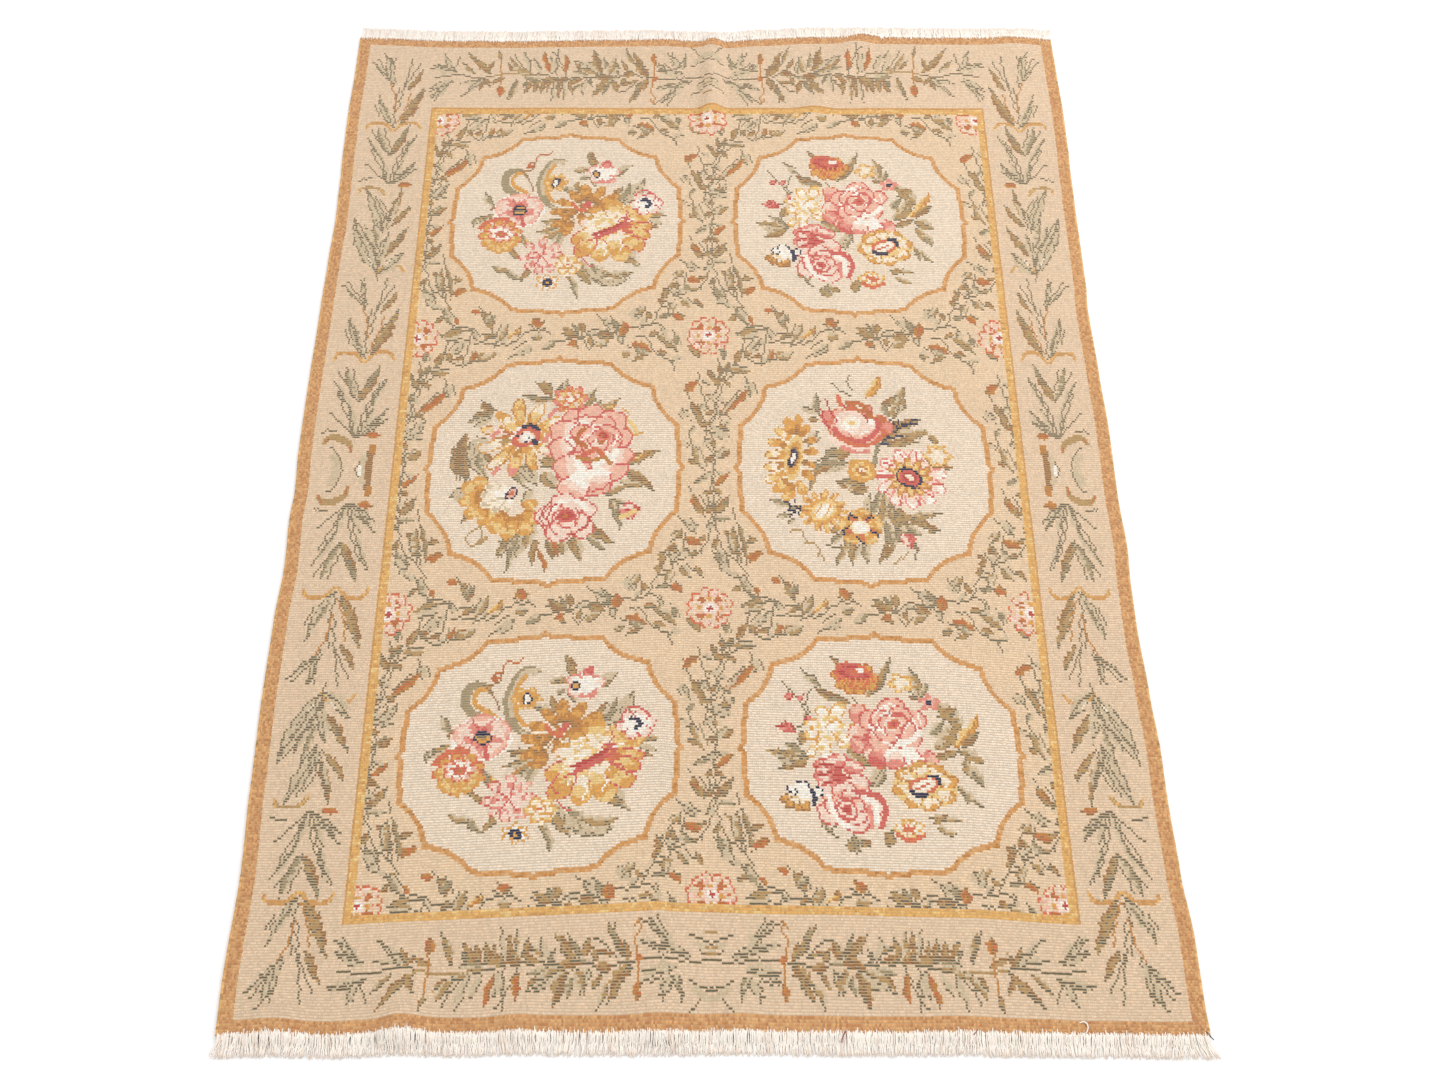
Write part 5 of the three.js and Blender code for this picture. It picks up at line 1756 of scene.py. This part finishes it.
# Thread ends left on the face: hex colour, radius, and points as place across and along the
# cloth from its middle and height over its top
LOOSE_ENDS = (
    ("FAF5EC", 0.9, (
        (456, -899, 0.9), (461, -897, 1.8), (465, -900, 2.2), (466, -905, 1.8), (463, -912, 1.1),
    )),
    ("7E2430", 0.7, ((166, -911, 0.9), (163, -916, 1.3), (161, -921, 0.9), (160, -926, -0.4))),
    ("7E2430", 0.6, ((323, -917, 0.9), (326, -914, 1.4), (329, -910, 0.7))),
    ("27375B", 0.6, ((606, -908, 0.6), (610, -914, 1.0), (614, -919, 0.3))),
)


class RUG_OT_loose_ends(bpy.types.Operator):
    """Lays the few stray thread ends on the face"""

    bl_idname = "rug.loose_ends"
    bl_label = "Loose ends"

    def execute(self, context):
        random = np.random.default_rng(41)
        for number, (colour, radius, places) in enumerate(LOOSE_ENDS):
            u, v, height = np.array(places, float).T
            given = laid(u, v, height + CLOTH_THICKNESS)
            t = np.linspace(0, len(places) - 1, 6 * len(places))
            path = np.stack([np.interp(t, np.arange(len(places)), given[:, axis]) for axis in range(3)], -1)
            eased = path.copy()
            for _ in range(6):
                eased[1:-1] = (eased[:-2] + 2 * eased[1:-1] + eased[2:]) / 4
            radii = np.full((1, len(t)), radius * MM) * random.uniform(0.95, 1.05)
            points, faces = tubes(eased[None], radii)
            # A single spun thread: matt and slightly fuzzy
            material = fibre("spun thread", linear(colour))
            piece = mesh_piece(f"loose_end_{number + 1}", points, faces, material)
            finish_piece(piece)
        return {"FINISHED"}


# The photograph's view: the camera's place in metres, its direction, its slight roll in degrees,
# its lens, and the share of the frame by which the picture's crop is off its middle
CAMERA_PLACE = (-0.0241, -1.8412, 2.3753)
CAMERA_AHEAD = (0.0029, 0.57556, -0.81776)
CAMERA_ROLL = 0.277
LENS_MM = 49.8
LENS_SHIFT = 0.0156
# The soft light's side and place, and half the floor's side, in metres
KEY_SIZE = 2.4
KEY_PLACE = (2.4, 1.6, 2.8)
FLOOR_HALF = 14


class RUG_OT_stage(bpy.types.Operator):
    """Sets the floor, the soft light and the camera"""

    bl_idname = "rug.stage"
    bl_label = "Floor, light and camera"

    def execute(self, context):
        settings = rug().stage
        scene = context.scene
        # Painted studio floor: matt white, it only takes the soft shadow
        paint = new_material("matt floor paint")
        finish = {"Base Color": (*settings.floor_colour, 1.0), "Roughness": 0.95, "Specular IOR Level": 0.1}
        shader = add_node(paint.node_tree, "BsdfPrincipled", inputs=finish)
        add_node(paint.node_tree, "OutputMaterial", inputs={"Surface": shader})
        corners = np.array([(-1, -1, 0), (1, -1, 0), (1, 1, 0), (-1, 1, 0)], float) * FLOOR_HALF
        corners[:, 2] = -FLOOR_DROP * MM
        floor = mesh_piece("floor", corners, np.array([[0, 1, 2, 3]]), paint)
        world = bpy.data.worlds.new("studio")
        world.use_nodes = True
        world.node_tree.nodes.clear()
        white = {"Color": (1, 1, 1, 1), "Strength": settings.sky_strength}
        sky = add_node(world.node_tree, "Background", inputs=white)
        add_node(world.node_tree, "OutputWorld", inputs={"Surface": sky})
        scene.world = world
        # Plain display of colours, so that a yarn's hex colour is what the eye sees on it
        scene.view_settings.view_transform = "Standard"
        key = bpy.data.lights.new("softbox", "AREA")
        key.shape = "SQUARE"
        key.size = KEY_SIZE
        key.energy = settings.key_power
        lamp = bpy.data.objects.new("softbox", key)
        lamp.location = KEY_PLACE
        lamp.rotation_mode = "QUATERNION"
        lamp.rotation_quaternion = (Vector((0, 0, 0)) - lamp.location).to_track_quat("-Z", "Y")
        scene.collection.objects.link(lamp)
        lens = bpy.data.cameras.new("camera")
        lens.sensor_fit = "HORIZONTAL"
        lens.sensor_width = 36
        lens.lens = LENS_MM
        lens.shift_x = LENS_SHIFT
        lens.clip_end = 60
        camera = bpy.data.objects.new("camera", lens)
        camera.location = CAMERA_PLACE
        camera.rotation_mode = "QUATERNION"
        roll = Quaternion((0, 0, 1), radians(CAMERA_ROLL))
        camera.rotation_quaternion = Vector(CAMERA_AHEAD).to_track_quat("-Z", "Y") @ roll
        scene.collection.objects.link(camera)
        scene.camera = camera
        return {"FINISHED"}


class RugSettings(bpy.types.PropertyGroup):
    """Everything that can be changed."""

    yarns: bpy.props.PointerProperty(type=YarnColours, name="Yarns", description="Colours of the face")
    face: bpy.props.PointerProperty(type=FaceSettings, name="Face", description="Knotting of the face")
    edges: bpy.props.PointerProperty(type=EdgeSettings, name="Sides", description="Overcast sides")
    fringe: bpy.props.PointerProperty(type=FringeSettings, name="Fringe", description="Free warp ends")
    stage: bpy.props.PointerProperty(type=StageSettings, name="Stage", description="Floor and light")


OPERATORS = (
    RUG_OT_foundation, RUG_OT_face, RUG_OT_selvedges, RUG_OT_fringe, RUG_OT_loose_ends, RUG_OT_stage,
)


class RUG_PT_panel(bpy.types.Panel):
    """Lists the rug's pieces and settings"""

    bl_label = "Floral rug"
    bl_idname = "RUG_PT_panel"
    bl_space_type = "VIEW_3D"
    bl_region_type = "UI"
    bl_category = "Rug"

    def draw(self, context):
        for operator in OPERATORS:
            self.layout.operator(operator.bl_idname)
        for group in (rug().face, rug().edges, rug().fringe, rug().stage, rug().yarns):
            box = self.layout.box()
            for name in group.bl_rna.properties.keys():
                if name not in ("rna_type", "name"):
                    box.prop(group, name)


CLASSES = (
    YarnColours, FaceSettings, EdgeSettings, FringeSettings, StageSettings, RugSettings, *OPERATORS,
    RUG_PT_panel,
)


def register():
    for one in CLASSES:
        bpy.utils.register_class(one)
    bpy.types.Scene.rug = bpy.props.PointerProperty(type=RugSettings)


def unregister():
    del bpy.types.Scene.rug
    for one in reversed(CLASSES):
        bpy.utils.unregister_class(one)


def main():
    register()
    bpy.ops.rug.foundation()
    bpy.ops.rug.face()
    bpy.ops.rug.selvedges()
    bpy.ops.rug.fringe()
    bpy.ops.rug.loose_ends()
    bpy.ops.rug.stage()


if __name__ == "__main__":
    main()
